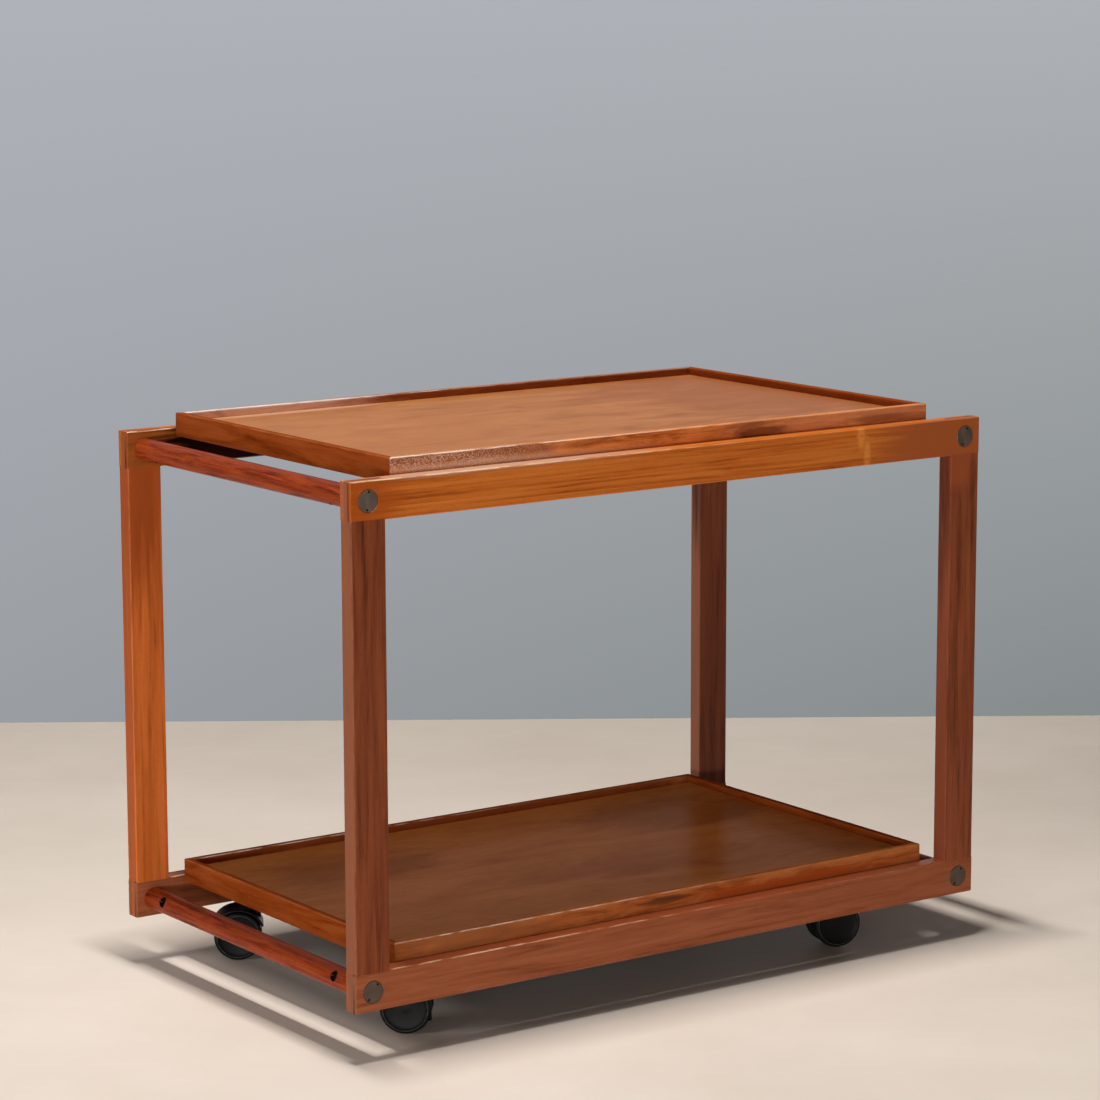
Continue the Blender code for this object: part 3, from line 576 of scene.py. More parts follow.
def lathe_tree():
    """Turn a profile of points (radius, 0, height) round Z into a closed skin."""
    tree, given, last = new_tree("lathe", (("Profile", "Geometry"), ("Steps", "Int")))
    rows = add(tree, "GeometryNodeAttributeDomainSize", {"Geometry": given["Profile"]},
               component="MESH").outputs["Point Count"]
    columns = add(tree, "ShaderNodeMath", {0: given["Steps"], 1: 1}, operation="ADD").outputs[0]
    grid = add(tree, "GeometryNodeMeshGrid", {"Vertices X": rows, "Vertices Y": columns})
    index = add(tree, "GeometryNodeInputIndex").outputs[0]
    share = add(tree, "ShaderNodeMath", {0: index, 1: columns}, operation="DIVIDE").outputs[0]
    row = add(tree, "ShaderNodeMath", {0: share}, operation="FLOOR").outputs[0]
    column = add(tree, "ShaderNodeMath", {0: index, 1: columns}, operation="MODULO").outputs[0]
    turn = add(tree, "ShaderNodeMath", {0: column, 1: given["Steps"]}, operation="DIVIDE").outputs[0]
    angle = add(tree, "ShaderNodeMath", {0: turn, 1: 2 * pi}, operation="MULTIPLY").outputs[0]
    place = add(tree, "GeometryNodeInputPosition").outputs[0]
    sampled = add(tree, "GeometryNodeSampleIndex",
                  {"Geometry": given["Profile"], "Value": place, "Index": row},
                  data_type="FLOAT_VECTOR", domain="POINT").outputs["Value"]
    turned = add(tree, "ShaderNodeVectorRotate", {"Vector": sampled, "Angle": angle},
                 rotation_type="Z_AXIS").outputs["Vector"]
    skin = add(tree, "GeometryNodeSetPosition",
               {"Geometry": grid.outputs["Mesh"], "Position": turned}).outputs["Geometry"]
    closed = add(tree, "GeometryNodeMergeByDistance",
                 {"Geometry": skin, "Distance": SEAM_DISTANCE}).outputs["Geometry"]
    tree.links.new(closed, last)
    return tree


def screw_square_tree():
    """Set one screw at each corner of a square."""
    tree, given, last = new_tree("screw square", (("Screw", "Geometry"), ("Spacing", "Float")))
    corners = add(tree, "GeometryNodeMeshGrid",
                  {"Size X": given["Spacing"], "Size Y": given["Spacing"], "Vertices X": 2,
                   "Vertices Y": 2}).outputs["Mesh"]
    screws = add(tree, "GeometryNodeInstanceOnPoints",
                 {"Points": corners, "Instance": given["Screw"]}).outputs["Instances"]
    tree.links.new(screws, last)
    return tree


def evaluated_mesh(obj):
    """An object's mesh with its modifiers worked out."""
    graph = bpy.context.evaluated_depsgraph_get()
    return bpy.data.meshes.new_from_object(obj.evaluated_get(graph))


def run_tree(tree, mesh, inputs):
    """Put a mesh through a Geometry Nodes tree and keep the result as a plain mesh."""
    blank = new_object(mesh.name, mesh)
    modifier = blank.modifiers.new(tree.name, "NODES")
    modifier.node_group = tree
    sockets = {item.name: item.identifier for item in tree.interface.items_tree}
    for title, value in inputs.items():
        modifier[sockets[title]] = value
    made = evaluated_mesh(blank)
    bpy.data.objects.remove(blank, do_unlink=True)
    return made


def turn_profile(name, profile, steps, material):
    """A turned mesh about Z from (radius, height) points, its faces pointing out."""
    points = bpy.data.meshes.new(name)
    points.from_pydata([(radius, 0, height) for radius, height in profile], [], [])
    mesh = run_tree(LATHE, points, {"Steps": steps, "Finish": material})
    bm = bmesh.new()
    bm.from_mesh(mesh)
    bmesh.ops.remove_doubles(bm, verts=bm.verts, dist=SEAM_DISTANCE)
    bmesh.ops.recalc_face_normals(bm, faces=bm.faces)
    return mesh_from(bm, name)


def combine(mesh, tool_mesh, operation):
    """Cut one mesh out of another, or join the two."""
    target = new_object("work", mesh)
    tool = new_object("tool", tool_mesh)
    boolean = target.modifiers.new("work", "BOOLEAN")
    boolean.operation = operation
    boolean.solver = "EXACT"
    boolean.object = tool
    made = evaluated_mesh(target)
    for item in (tool, target):
        bpy.data.objects.remove(item, do_unlink=True)
    return made


def round_bars(bars):
    """Round bars, given as (diameter, length, steps, matrix), in one mesh."""
    bm = bmesh.new()
    for diameter, length, steps, matrix in bars:
        bmesh.ops.create_cone(bm, cap_ends=True, segments=steps, radius1=diameter / 2,
                              radius2=diameter / 2, depth=length, matrix=matrix)
    return mesh_from(bm, "round bars")


def turn_to(direction):
    """The turn that brings +Z round to a direction."""
    return Vector((0, 0, 1)).rotation_difference(direction).to_matrix().to_4x4()


def bar_profile(radius, half, chamfer):
    """A round bar's outline, with both ends chamfered."""
    return [(0, half), (radius - chamfer, half), (radius, half - chamfer),
            (radius, chamfer - half), (radius - chamfer, -half), (0, -half)]


def nut_direction(nut_angle, end):
    """The way a barrel nut's open end looks out of its rod."""
    return Vector((-cos(nut_angle) if end == "right" else cos(nut_angle), 0, sin(nut_angle)))


def make_nut(node, nut_angle, end, material):
    """A barrel nut with eased ends, and the bolt's hole across it."""
    low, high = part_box(node)
    profile = bar_profile(NUT_DIAMETER / 2, NUT_LENGTH / 2, NUT_CHAMFER)
    mesh = turn_profile(node, profile, NUT_HOLE_STEPS, material)
    bore = (NUT_BORE_DIAMETER, 2 * NUT_DIAMETER, NUT_HOLE_STEPS, Matrix.Rotation(pi / 2, 4, "X"))
    mesh = combine(mesh, round_bars([bore]), "DIFFERENCE")
    mesh.transform(Matrix.Translation((low + high) / 2) @ turn_to(nut_direction(nut_angle, end)))
    finish_piece(node + "_turned", mesh, material, node)


def make_rod(node, nuts, nut_angle, end, material):
    """A round cross rod with its ends chamfered and its barrel nuts' holes bored."""
    low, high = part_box(node)
    centre = (low + high) / 2
    radius = (high.z - low.z) / 2
    profile = bar_profile(radius, (high.y - low.y) / 2, ROD_CHAMFER)
    mesh = turn_profile(node, profile, ROD_STEPS, material)
    mesh.transform(Matrix.Translation(centre) @ Matrix.Rotation(-pi / 2, 4, "X"))
    towards = nut_direction(nut_angle, end)
    turn = turn_to(towards)
    length = NUT_HOLE_DEPTH + CUT_OVERRUN
    holes = []
    for nut in nuts:
        nut_low, nut_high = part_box(nut)
        mouth = Vector((centre.x, (nut_low.y + nut_high.y) / 2, centre.z))
        middle = mouth + towards * (radius + CUT_OVERRUN - length / 2)
        holes.append((NUT_HOLE_DIAMETER, length, NUT_HOLE_STEPS, Matrix.Translation(middle) @ turn))
    mesh = combine(mesh, round_bars(holes), "DIFFERENCE")

    def in_hole(face):
        """True for the wall or the floor of a nut's hole."""
        from_axis = hypot(face.center.x - centre.x, face.center.z - centre.z)
        return from_axis < radius - ROD_CHAMFER and abs(face.normal.y) < SQUARE_ABOVE

    # The hole's wall and floor take the near-black unseen tone: painted shade
    note_wood(mesh, 1, wear=0.0, is_unseen=in_hole)
    finish_piece(node + "_turned", mesh, material, node)


def make_bolt(node, side, turn, material):
    """A bolt whose flush disc head is faced in fine rings and has two holes for a pin spanner."""
    low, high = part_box(node)
    head = (high.x - low.x) / 2
    shank = SHANK_DIAMETER / 2
    length = high.y - low.y
    flat = head - HEAD_CHAMFER
    points = int(flat / TURNING_PITCH) * TURNING_POINTS
    face = []
    for i in range(points + 1):
        radius = flat * i / points
        height = -TURNING_DEPTH * (0.5 - 0.5 * cos(2 * pi * radius / TURNING_PITCH))
        face.append((radius, height))
    profile = face + [(head, -HEAD_CHAMFER), (head, -HEAD_THICKNESS), (shank, -HEAD_THICKNESS),
                      (shank, HEAD_CHAMFER - length), (shank - HEAD_CHAMFER, -length), (0, -length)]
    mesh = turn_profile(node, profile, HEAD_STEPS, material)
    holes = []
    depth = SPANNER_HOLE_DEPTH + CUT_OVERRUN
    for across in (-1, 1):
        place = Vector((0, across * SPANNER_HOLE_RADIUS, CUT_OVERRUN - depth / 2))
        holes.append((SPANNER_HOLE_DIAMETER, depth, SPANNER_HOLE_STEPS, Matrix.Translation(place)))
    mesh = combine(mesh, round_bars(holes), "DIFFERENCE")
    # Painted shade on the head's side, its underside and shank, and in its spanner holes, all sunk in the recess
    note(mesh, "hollow_shade", "FLOAT", "FACE",
         [1.0 if face.center.z < -HEAD_CHAMFER else 0.0 for face in mesh.polygons])
    about = Matrix.Rotation(pi if side == "far" else 0, 4, "Z")
    to_face = Matrix.Rotation(pi / 2, 4, "X")
    middle = (low + high) / 2
    place = Matrix.Translation((middle.x, low.y if side == "near" else high.y, middle.z))
    mesh.transform(place @ about @ to_face @ Matrix.Rotation(-turn, 4, "Z"))
    rings = []
    for vertex in mesh.vertices:
        rings += [vertex.co.z - middle.z, 0, middle.x - vertex.co.x]
    note(mesh, "rings", "FLOAT_VECTOR", "POINT", rings)
    finish_piece(node + "_turned", mesh, material, node)


def arc(radius, start, end, steps, centre):
    """Points along an arc, both its ends included."""
    angles = [start + (end - start) * i / steps for i in range(steps + 1)]
    return [(centre[0] + radius * cos(angle), centre[1] + radius * sin(angle)) for angle in angles]


def wheel_profile(radius):
    """From the hub's face over the dish, the bead, the band and the tread to the blind bore."""
    floor = WHEEL_WIDTH - DISH_DEPTH
    points = [(0, floor + HUB_RISE), (HUB_RADIUS - HUB_RISE, floor + HUB_RISE), (HUB_RADIUS, floor)]
    dish_rim = WHEEL_WIDTH - DISH_WALL_DROP
    for i in range(1, ROUND_POINTS + 1):
        share = i / ROUND_POINTS
        points.append((HUB_RADIUS + (DISH_RADIUS - HUB_RADIUS) * share,
                       floor + (dish_rim - floor) * share ** 2))
    band = WHEEL_WIDTH - BAND_DROP
    for i in range(ROUND_POINTS + 1):
        angle = pi * i / ROUND_POINTS
        points.append((BEAD_RADIUS - BEAD_HALF_WIDTH * cos(angle),
                       band + BEAD_RISE * (BEAD_CREST_SHARE * sin(angle) - BEAD_SUNK_SHARE)))
    tread = radius - TREAD_ROUND
    points += arc(TREAD_ROUND, pi / 2, 0, ROUND_POINTS, (tread, band - TREAD_ROUND))
    points += arc(TREAD_ROUND, 0, -pi / 2, ROUND_POINTS, (tread, TREAD_ROUND))
    return points + [(BORE_RADIUS, 0), (BORE_RADIUS, BORE_DEPTH), (0, BORE_DEPTH)]


def make_wheel(node, joint, across, material):
    """One of a caster's two wheels, its dished face outward on its joint's axle."""
    mesh = turn_profile(node, wheel_profile(joint["pos_m"][2]), WHEEL_STEPS, material)
    # The bead's crest is paler, partly scuffs and partly a painted highlight ring
    scuff_and_highlight = []
    for vertex in mesh.vertices:
        off_crest = abs(hypot(vertex.co.x, vertex.co.y) - BEAD_RADIUS)
        scuff_and_highlight.append(1.0 if off_crest < BEAD_HALF_WIDTH / 2 and vertex.co.z > BORE_DEPTH else 0.0)
    note(mesh, "scuff_and_highlight", "FLOAT", "POINT", scuff_and_highlight)
    outward = Vector(joint["axis"]) * across
    place = Vector(joint["pos_m"]) + outward * WHEEL_SPACING / 2
    mesh.transform(Matrix.Translation(place) @ turn_to(outward))
    finish_piece(node + "_moulded", mesh, material, node)


def sweep(rings):
    """A closed skin through rings of points, with a face over each end."""
    bm = bmesh.new()
    rows = [[bm.verts.new(point) for point in ring] for ring in rings]
    for one, other in zip(rows, rows[1:]):
        for i in range(len(one)):
            bm.faces.new((one[i - 1], one[i], other[i], other[i - 1]))
    bm.faces.new(rows[0])
    bm.faces.new(rows[-1])
    bmesh.ops.recalc_face_normals(bm, faces=bm.faces)
    return mesh_from(bm, "swept")


def caster_web(axle):
    """The upright web that joins the hood, the boss and the axle between the wheels."""
    rear, front = HOOD_REAR + WEB_SETBACK, HOOD_FRONT - WEB_SETBACK
    outline = arc((HOOD_INNER_RADIUS + HOOD_OUTER_RADIUS) / 2, rear, front, HOOD_STEPS, axle)
    outline += [(0, BOSS_FOOT + WEB_FOOT_RISE)]
    outline += arc(WEB_FOOT_RADIUS, -pi / 2, rear, BODY_STEPS, axle)
    half = WEB_THICKNESS / 2
    return sweep([[(x, y, z) for x, z in outline] for y in (-half, half)])


def caster_hood(axle):
    """The hood: a shallow channel with rounded shoulders, curved round the wheels."""
    half, top = HOOD_WIDTH / 2, HOOD_OUTER_RADIUS - HOOD_ROUND
    section = [(half, HOOD_INNER_RADIUS)]
    section += arc(HOOD_ROUND, 0, pi / 2, ROUND_POINTS, (half - HOOD_ROUND, top))
    section += arc(HOOD_ROUND, pi / 2, pi, ROUND_POINTS, (HOOD_ROUND - half, top))
    section += [(-half, HOOD_INNER_RADIUS)]
    rings = []
    for i in range(HOOD_STEPS + 1):
        angle = HOOD_REAR + (HOOD_FRONT - HOOD_REAR) * i / HOOD_STEPS
        rings.append([(axle[0] + radius * cos(angle), y, axle[1] + radius * sin(angle))
                      for y, radius in section])
    return sweep(rings)


def make_caster_body(corner, material):
    """A moulded caster body, turned to its heading under the plate."""
    pin = Vector(joints[f"{corner}_caster"]["pos_m"])
    hub = Vector(joints[f"{corner}_wheel_a"]["pos_m"])
    trail = hub - pin
    axle = (hypot(trail.x, trail.y), hub.z)
    cap_foot = hub.z + HOOD_INNER_RADIUS
    cap_top = hub.z + HOOD_OUTER_RADIUS + BOSS_RISE
    profile = [(0, cap_top), (BOSS_CAP_RADIUS - BOSS_EASE, cap_top),
               (BOSS_CAP_RADIUS, cap_top - BOSS_EASE), (BOSS_CAP_RADIUS, cap_foot),
               (BOSS_RADIUS, cap_foot), (BOSS_RADIUS, BOSS_FOOT), (0, BOSS_FOOT)]
    mesh = combine(caster_web(axle), turn_profile("boss", profile, BODY_STEPS, material), "UNION")
    mesh = combine(mesh, caster_hood(axle), "UNION")
    across = Matrix.Translation((axle[0], 0, axle[1])) @ Matrix.Rotation(pi / 2, 4, "X")
    axle_pin = (AXLE_DIAMETER, AXLE_LENGTH, BODY_STEPS, across)
    mesh = combine(mesh, round_bars([axle_pin]), "UNION")
    bore = (KING_BORE_DIAMETER, 2 * cap_top, BODY_STEPS, Matrix.Translation((0, 0, cap_top)))
    mesh = combine(mesh, round_bars([bore]), "DIFFERENCE")
    mesh.transform(Matrix.Translation((pin.x, pin.y, 0))
                   @ Matrix.Rotation(atan2(trail.y, trail.x), 4, "Z"))
    node = f"{corner}_caster_body"
    finish_piece(node + "_moulded", mesh, material, node)


def block(x, y, z, height):
    """A block of three sizes, its middle at a height on the Z axis."""
    bm = bmesh.new()
    bmesh.ops.create_cube(bm, size=1.0, matrix=Matrix.Translation((0, 0, height))
                          @ Matrix.Diagonal((x, y, z, 1)))
    return bm


def plate_screws(under, material):
    """Four pan-head screws with cross recesses, heads down under the plate."""
    tip = under + SCREW_LENGTH
    foot = under - SCREW_HEAD_HEIGHT
    inside = under + PLATE_THICKNESS / 2
    dome = [(SCREW_HEAD_RADIUS * cos(angle), under - SCREW_HEAD_HEIGHT * sin(angle))
            for angle in (pi / 2 * i / ROUND_POINTS for i in range(ROUND_POINTS))]
    profile = [(0, tip), (SCREW_RADIUS, tip - SCREW_POINT), (SCREW_RADIUS, inside),
               (SCREW_HEAD_RADIUS, inside)] + dome + [(0, foot)]
    screw = turn_profile("screw", profile, SCREW_STEPS, material)
    for x, y in ((RECESS_LENGTH, RECESS_WIDTH), (RECESS_WIDTH, RECESS_LENGTH)):
        recess = mesh_from(block(x, y, 2 * RECESS_DEPTH, foot), "recess")
        screw = combine(screw, recess, "DIFFERENCE")
    return run_tree(SCREW_SQUARE, screw, {"Spacing": SCREW_SPACING, "Finish": material})


def make_caster_plate(corner, material):
    """A mounting plate stamped with round corners, its king pin riveted in, and its screws."""
    x, y, under = joints[f"{corner}_caster"]["pos_m"]
    middle = under + PLATE_THICKNESS / 2
    bm = block(PLATE_SIZE, PLATE_SIZE, PLATE_THICKNESS, middle)
    upright = [edge for edge in bm.edges if abs(edge.verts[0].co.z - edge.verts[1].co.z) > PLATE_EASE]
    bmesh.ops.bevel(bm, geom=upright, offset=PLATE_CORNER, offset_type="OFFSET",
                    segments=PLATE_CORNER_STEPS, profile=0.5, affect="EDGES")
    rims = [edge for edge in bm.edges if edge.calc_face_angle() > SMOOTH_BELOW]
    bmesh.ops.bevel(bm, geom=rims, offset=PLATE_EASE, offset_type="OFFSET",
                    segments=EASE_SEGMENTS, profile=0.5, affect="EDGES")
    collar_foot = under - COLLAR_THICKNESS
    profile = [(0, middle), (COLLAR_RADIUS, middle), (COLLAR_RADIUS, collar_foot),
               (KING_PIN_RADIUS, collar_foot), (KING_PIN_RADIUS, KING_PIN_FOOT),
               (0, KING_PIN_FOOT)]
    mesh = combine(mesh_from(bm, "plate"), turn_profile("pin", profile, BODY_STEPS, material),
                   "UNION")
    mesh = combine(mesh, plate_screws(under, material), "UNION")
    mesh.transform(Matrix.Translation((x, y, 0)))
    node = f"{corner}_caster_plate"
    finish_piece(node + "_stamped", mesh, material, node)


def make_camera():
    """The photograph's camera: its place, heading, dip and roll, and its focal length."""
    camera = new_object("photo view", bpy.data.cameras.new("photo view"))
    camera.data.sensor_width = SENSOR_WIDTH
    camera.data.lens = FOCAL_PIXELS / PHOTO_WIDTH * SENSOR_WIDTH
    camera.matrix_world = (Matrix.Translation(CAMERA_PLACE)
                           @ Matrix.Rotation(-CAMERA_HEADING, 4, "Z")
                           @ Matrix.Rotation(pi / 2 - CAMERA_DIP, 4, "X")
                           @ Matrix.Rotation(CAMERA_ROLL, 4, "Z"))
    bpy.context.scene.camera = camera


def stage_plane(name, matrix, material):
    """A wide flat plane that belongs to the stage."""
    bm = bmesh.new()
    bmesh.ops.create_grid(bm, x_segments=1, y_segments=1, size=STAGE_REACH / 2, matrix=matrix)
    mesh = mesh_from(bm, name)
    plane = new_object(name, mesh)
    mesh.materials.append(material)
    return plane


def show_front_only(tree, shader):
    """Leave a stage plane clear from behind, so that it hides nothing."""
    clear = add(tree, "ShaderNodeBsdfTransparent")
    behind = add(tree, "ShaderNodeNewGeometry").outputs["Backfacing"]
    either = add(tree, "ShaderNodeMixShader",
                 {0: behind, 1: shader.outputs[0], 2: clear.outputs[0]})
    add(tree, "ShaderNodeOutputMaterial", {"Surface": either.outputs[0]})


def stage_floor():
    """Pale trowelled floor with faint uneven patches, paler in front of the trolley than behind it:
    the darkening towards the back is a painted fall-off of the light.
    """
    material, tree = new_material("pale trowelled floor")
    place = add(tree, "ShaderNodeTexCoord").outputs["Object"]
    patch = add(tree, "ShaderNodeTexNoise",
                {"Vector": place, "Scale": FLOOR_PATCHES_PER_METRE, "Detail": 6.0,
                 "Roughness": 0.6}).outputs["Fac"]
    near, far = (add(tree, "ShaderNodeValToRGB", {"Fac": patch},
                     stops=[(0.3, linear(dark)), (0.7, linear(light))]).outputs["Color"]
                 for dark, light in (("#efdfcf", "#fdefe1"), ("#bcaf9f", "#c9bcac")))
    depth = add(tree, "ShaderNodeVectorMath",
                {0: place, 1: FLOOR_FALL}, operation="DOT_PRODUCT").outputs["Value"]
    depth = add(tree, "ShaderNodeMapRange", {"Value": depth, "From Min": FLOOR_NEAR,
                                             "From Max": FLOOR_FAR}).outputs["Result"]
    colour = add(tree, "ShaderNodeMix", {"Factor": depth, 6: near, 7: far},
                 data_type="RGBA").outputs[2]
    shader = add(tree, "ShaderNodeBsdfPrincipled",
                 {"Base Color": colour, "Roughness": 0.8, "Specular IOR Level": 0.1})
    show_front_only(tree, shader)
    stage_plane("floor", Matrix.Identity(4), material)


def stage_wall():
    """Grey painted wall, a little lighter towards its top and darker to the right at its foot: painted
    light. It shows its own colours, unlit, and the lamps' light passes through it."""
    heading = Vector((sin(CAMERA_HEADING), cos(CAMERA_HEADING), 0))
    foot = Vector((CAMERA_PLACE.x, CAMERA_PLACE.y, 0)) + heading * WALL_DISTANCE
    material, tree = new_material("grey painted wall")
    place = add(tree, "ShaderNodeTexCoord").outputs["Object"]
    turned = add(tree, "ShaderNodeVectorRotate", {"Vector": place, "Center": foot,
                                                  "Angle": CAMERA_HEADING - WALL_TURN},
                 rotation_type="Z_AXIS").outputs["Vector"]
    part = add(tree, "ShaderNodeSeparateXYZ", {"Vector": turned}).outputs
    across = add(tree, "ShaderNodeMapRange",
                 {"Value": part["X"], "From Min": foot.x - WALL_HALF_WIDTH,
                  "From Max": foot.x + WALL_HALF_WIDTH}).outputs["Result"]
    up = add(tree, "ShaderNodeMapRange", {"Value": part["Z"], "From Min": 0.0,
                                          "From Max": WALL_TOP}).outputs["Result"]
    low, high = (add(tree, "ShaderNodeMix", {"Factor": across, 6: linear(left), 7: linear(right)},
                     data_type="RGBA").outputs[2]
                 for left, right in (("#9a9da2", "#868c8c"), ("#afb2b9", "#aeb1b6")))
    colour = add(tree, "ShaderNodeMix", {"Factor": up, 6: low, 7: high},
                 data_type="RGBA").outputs[2]
    glow = add(tree, "ShaderNodeEmission", {"Color": colour, "Strength": 1.0})
    show_front_only(tree, glow)
    stand = Matrix.Rotation(-CAMERA_HEADING + WALL_TURN, 4, "Z") @ Matrix.Rotation(pi / 2, 4, "X")
    raise_up = Matrix.Translation(foot + Vector((0, 0, STAGE_REACH / 2)))
    wall = stage_plane("wall", raise_up @ stand, material)
    wall.visible_shadow = False
    wall.visible_diffuse = False


def make_light():
    """One soft box overhead, weaker ones low in front, low behind and to the left, and a sky."""
    for name, (place, aim, size, power) in SOFT_BOXES.items():
        data = bpy.data.lights.new(name, "AREA")
        data.shape = "RECTANGLE"
        data.size, data.size_y = size
        data.energy = power
        light = new_object(name, data)
        light.visible_camera = False
        turn = (Vector(aim) - Vector(place)).to_track_quat("-Z", "Y")
        light.matrix_world = Matrix.Translation(place) @ turn.to_matrix().to_4x4()
    world = bpy.data.worlds.new("soft studio")
    world.use_nodes = True
    sky = world.node_tree.nodes["Background"]
    sky.inputs["Color"].default_value = linear("#f4f2ee")
    sky.inputs["Strength"].default_value = SKY_STRENGTH
    bpy.context.scene.world = world


LATHE = lathe_tree()
SCREW_SQUARE = screw_square_tree()
# Each member's tones are partly its own board's and partly painted light: the top rails and the far left leg are
# lighter and more orange where the overhead light falls on them, the other legs and the bottom rails darker where
# they stand in shade, and their narrow edges' tones are set the same way
RAIL_TONES = ("#924318", "#ba6122", "#cb6d2a", "#d67b34")
RAIL_GRAIN = {"figure": (220, 8), "rings": (4.6, 0.16), "sheen": 0.03}
LEG_GRAIN = {"figure": (130, 7), "rings": (7.0, 0.08), "sheen": 0.08}
RIM_GRAIN = {"figure": (60, 12), "rings": (6.0, 0.10), "roughness": 0.40, "flecks": 0.2}
# The near top rail's first patch is painted light: a pale band of light thrown down onto its top in front of the
# rim
NEAR_RAIL = oiled_wood("oiled teak, near top rail", RAIL_TONES, "#f2cba2", "#90583d",
                       **RAIL_GRAIN,
                       patches=[("#cc9c82", (-205, -209, 549.4), (200, 11, 3.5), 0.9),
                                ("#f09a48", (223, -217, 541), (6, 8, 15), 0.6),
                                ("#f09a48", (231, -217, 524), (5, 8, 17), 0.6),
                                ("#ac5a2e", (335, -217, 530), (95, 8, 60), 1.0),
                                ("#ac5019", (-372, -217, 532), (46, 8, 34), 0.8)])
# The far top rail's near-black patch under the tray's left end is a painted shadow
FAR_RAIL = oiled_wood("oiled teak, far top rail", RAIL_TONES, "#f2cba2", "#90583d", **RAIL_GRAIN,
                      patches=[("#1c0804", (-240, 199, 525), (150, 14, 44), 1.0),
                               ("#8e4a22", (-375, 199, 532), (34, 14, 44), 0.8)])
LOW_RAIL = oiled_wood("oiled teak, bottom rails", ("#793e22", "#925133", "#9c5839", "#a76242"),
                      "#eec0a0", "#90583d", figure=(140, 9), rings=(6.0, 0.08), sheen=0.04,
                      wear_and_highlight_reach=341, patches=[("#b85c32", (0, -209, 86.8), (420, 11, 3.0), 0.8)])
# The far left leg's patch darkens its upper part: painted shade
FAR_LEFT_LEG = oiled_wood("oiled teak, far left leg", ("#9e4a1d", "#c16229", "#cf6b2e", "#da7637"),
                          "#e0a880", "#9c4a24", figure=(180, 9), rings=(7.0, 0.08), sheen=0.08,
                          patches=[("#9c481c", (-362, 208, 520), (60, 60, 150), 0.9)])
NEAR_LEFT_LEG = oiled_wood("oiled teak, near left leg",
                           ("#562816", "#733820", "#814126", "#8e4b2c"), "#d09c80", "#90583d",
                           **LEG_GRAIN)
# On the near right leg, the last patch darkens the upper part of its left side face: painted shade under the tray
NEAR_RIGHT_LEG = oiled_wood("oiled teak, near right leg",
                            ("#5e301a", "#7d4126", "#8c482d", "#9a5231"), "#d09c80", "#894932",
                            **LEG_GRAIN,
                            patches=[("#a8552f", (352, -217, 500), (34, 8, 24), 0.7),
                                     ("#3c1a10", (374, -217, 490), (7, 8, 24), 0.4),
                                     ("#54281a", (340, -208, 480), (4, 16, 130), 0.9)])
# The far right leg's patch darkens the upper part of its left side face: painted shade under the tray
FAR_RIGHT_LEG = oiled_wood("oiled teak, far right leg",
                           ("#5a2c1e", "#6b3824", "#753e29", "#7d4530"), "#b08068", "#a86e54",
                           **LEG_GRAIN,
                           patches=[("#4c2c20", (340, 208, 470), (4, 16, 150), 0.9)])
ROD = oiled_wood("oiled padauk, rods", ("#4c1709", "#782a0e", "#8c3612", "#9c421c"), "#c87858",
                 "#8c3612", figure=(70, 5), rings=(5.0, 0.08), roughness=0.30, sheen=0.05,
                 flecks=0.25)
# On the near top rim, the second patch is a painted reflection: the pink band along the foot of its left part,
# where the rail's top shows in the lacquer
NEAR_RIM = oiled_wood("oiled teak, near top rim", ("#91451b", "#c66e34", "#dc8141", "#eb924e"),
                      "#f6dcc8", "#dc8141", sheen=0.03, **RIM_GRAIN,
                      patches=[("#a05e36", (-225, -197.5, 560), (130, 8, 9), 0.8),
                               ("#d8a684", (-225, -197.5, 549), (190, 8, 7), 0.85),
                               ("#d8966a", (230, -197.5, 555), (150, 8, 16), 0.5),
                               ("#5c2814", (112, -197.5, 553), (30, 8, 9), 0.75),
                               ("#6c3018", (262, -197.5, 555), (60, 8, 4), 0.55)])
LOW_RIM = oiled_wood("oiled teak, bottom long rims", ("#85421f", "#a85a2c", "#b96836", "#c67840"),
                     "#f6dcc8", "#b96836", sheen=0.0, **RIM_GRAIN,
                     patches=[("#a4643c", (-230, -197.5, 98), (100, 8, 14), 0.7),
                              ("#b04e20", (150, -197.5, 90), (180, 8, 7), 0.9),
                              ("#5c3826", (-8, -197.5, 96), (30, 8, 4), 0.8),
                              ("#8c4420", (0, 191, 100), (420, 8, 14), 0.8)])
# The far top rim's pale patch along the left of its inner face is painted light, glints in the lacquer
FAR_RIM = oiled_wood("oiled teak, far top rim", ("#743818", "#985430", "#a66038", "#b06c42"),
                     "#ffeee6", "#b26a3c", figure=(60, 12), rings=(6.0, 0.10), roughness=0.34,
                     sheen=0.2, patches=[("#ffded0", (-240, 186, 560), (180, 8, 16), 1.0)])
END_RIM = oiled_wood("oiled teak, tray ends", ("#6c2c0c", "#863c14", "#91441a", "#9a4e23"),
                     "#e0a880", "#91441a", figure=(90, 14), rings=(8.0, 0.06), roughness=0.40,
                     sheen=0.0)
# On the top tray's panel, the pale patch along the left of the far rim is a painted reflection, and the second
# patch darkens the right end. Its underside is pale so that it throws more light down onto the bottom tray
TOP_PANEL = oiled_wood("lacquered teak veneer, top tray",
                       ("#9c5c2e", "#ad6a36", "#b36f3a", "#bb7742"), "#e0b890", "#b36f3a",
                       figure=(90, 34), rings=(12.0, 0.04), roughness=0.45, sheen=0.11,
                       flecks=0.2, unseen="#e8c69c",
                       patches=[("#dcae90", (-205, 184, 557), (120, 9, 6), 0.6),
                                ("#99532a", (340, 0, 556), (260, 320, 30), 0.6)])
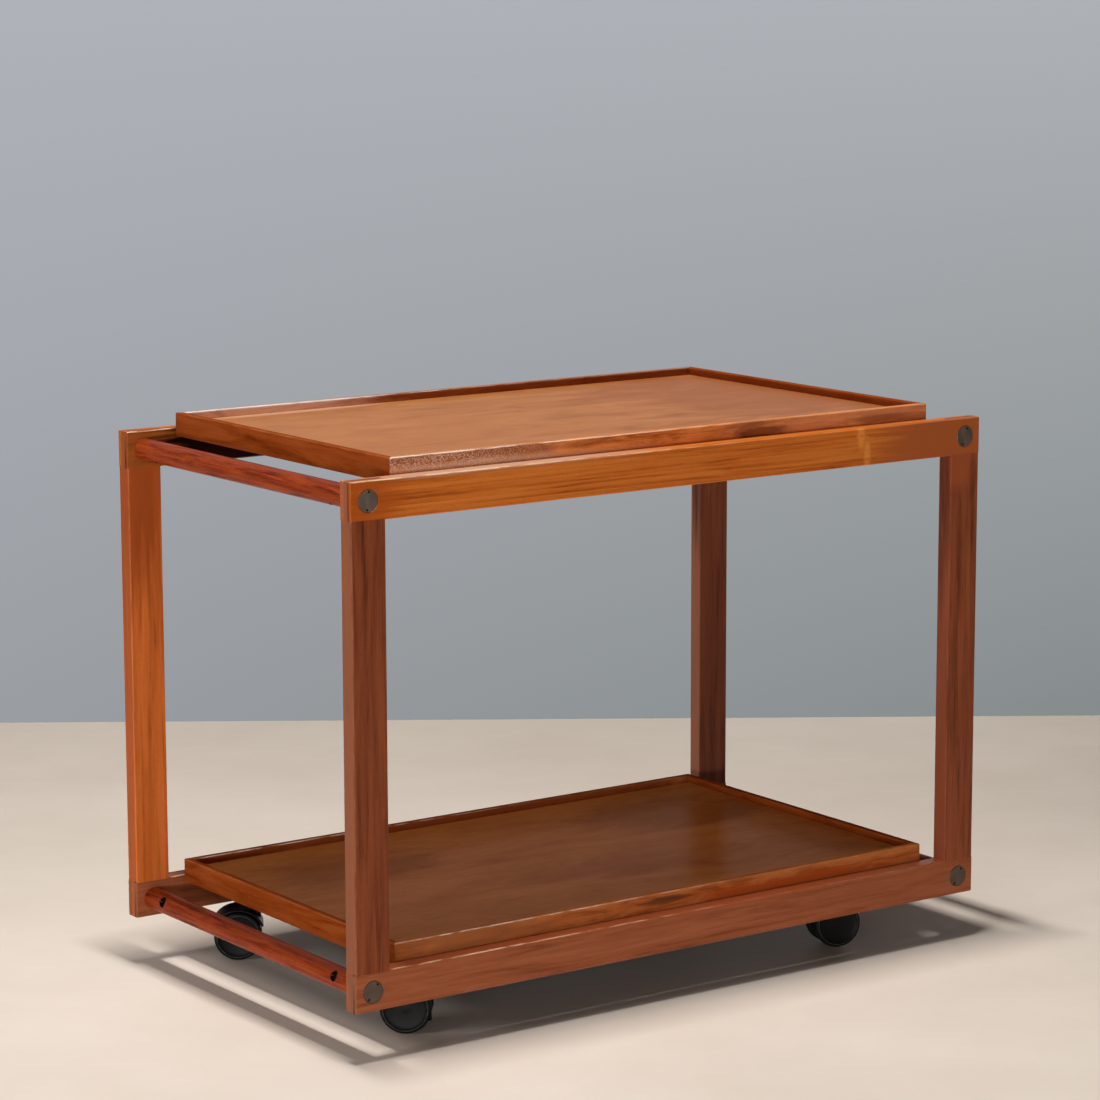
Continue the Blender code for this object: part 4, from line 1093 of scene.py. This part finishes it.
# On the bottom tray's panel, the darker patches are painted reflections in its lacquer, and its underside is dark
# so that the floor below stays in deep shade
LOW_PANEL = oiled_wood("lacquered teak veneer, bottom tray",
                       ("#a8602e", "#b86e34", "#be7438", "#c87e42"), "#e0b890", "#be7438",
                       figure=(160, 60), rings=(12.0, 0.03), roughness=0.26, sheen=0.002,
                       unseen="#2a170d",
                       patches=[("#86481e", (-190, 90, 96), (110, 60, 20), 0.5),
                                ("#8c4c20", (40, -60, 96), (150, 50, 20), 0.45),
                                ("#8c4c20", (210, 80, 96), (110, 70, 20), 0.45)])
BEARER = oiled_wood("oiled hardwood, bearers", ("#24120a", "#381c10", "#4a2818", "#5a3420"),
                    "#7a5840", "#4a2818", roughness=0.6, sheen=0.03)
# The bottom bolts' steel is a darker copy of the top bolts': painted shade under the top tray
HEAD_STEEL = {"top": turned_steel("blackened steel, top bolts", "#867a70", "#908379", 0.36, 0.6),
              "bottom": turned_steel("blackened steel, bottom bolts", "#5e534b", "#685d54", 0.36,
                                     0.6)}
NUT_STEEL = turned_steel("blackened steel, turned", "#2c2620", "#3a342e", 0.42)
ZINC = turned_steel("zinc-plated steel", "#a8a8a4", "#c8c8c2", 0.34)
HOOD_NYLON = moulded_nylon("black moulded nylon, hoods", "#101110", "#1d1c1a", 0.50)
WHEEL_NYLON = moulded_nylon("black moulded nylon, wheels", "#0c0d0c", "#191817", 0.48)
RAIL_FINISH = {"near_top": NEAR_RAIL, "far_top": FAR_RAIL}
LEG_FINISH = {"near_left": NEAR_LEFT_LEG, "near_right": NEAR_RIGHT_LEG,
              "far_left": FAR_LEFT_LEG, "far_right": FAR_RIGHT_LEG}
RIM_FINISH = {"near_top": NEAR_RIM, "far_top": FAR_RIM}

for side in SIDES:
    for level in LEVELS:
        finish = RAIL_FINISH.get(f"{side}_{level}", LOW_RAIL)
        wood_member(f"{side}_{level}_rail", 0, finish, "rail_wood", edge_axes=(0,))
    for end in ENDS:
        wood_member(f"{side}_{end}_leg", 2, LEG_FINISH[f"{side}_{end}"], "leg_wood",
                    edge_axes=(0,))
for end in ENDS:
    for level in LEVELS:
        wood_member(f"{end}_{level}_bearer", 1, BEARER, "bearer_wood", wear=0.0)
        angle = TOP_NUT_ANGLE if level == "top" else BOTTOM_NUT_ANGLE
        nuts = [f"{side}_{end}_{level}_nut" for side in SIDES]
        make_rod(f"{end}_{level}_rod", nuts, angle, end, ROD)
        for nut in nuts:
            make_nut(nut, angle, end, NUT_STEEL)
        for side in SIDES:
            key = f"{side}_{end}_{level}"
            make_bolt(key + "_bolt", side, HEAD_TURNS[key], HEAD_STEEL[level])
for level in LEVELS:
    for side in SIDES:
        finish = RIM_FINISH.get(f"{side}_{level}", LOW_RIM)
        wood_member(f"{level}_tray_{side}_rim", 0, finish, "rim_wood",
                    dry=TOP_RIM_GLINT if level == "top" else 0.0)
    for end in ENDS:
        wood_member(f"{level}_tray_{end}_rim", 1, END_RIM, "rim_wood", wear=END_RIM_WEAR_AND_HIGHLIGHT)
    wood_member(f"{level}_tray_panel", 0, TOP_PANEL if level == "top" else LOW_PANEL,
                "panel_wood", is_unseen=looks_down)
joints = {joint["child"]: joint for joint in frame["joints"]}
for corner in CORNERS:
    for letter, across in (("a", -1), ("b", 1)):
        wheel = f"{corner}_wheel_{letter}"
        make_wheel(wheel, joints[wheel], across, WHEEL_NYLON)
    make_caster_body(corner, HOOD_NYLON)
    make_caster_plate(corner, ZINC)

stage_floor()
stage_wall()
make_light()
make_camera()
bpy.context.scene.view_settings.view_transform = "Standard"
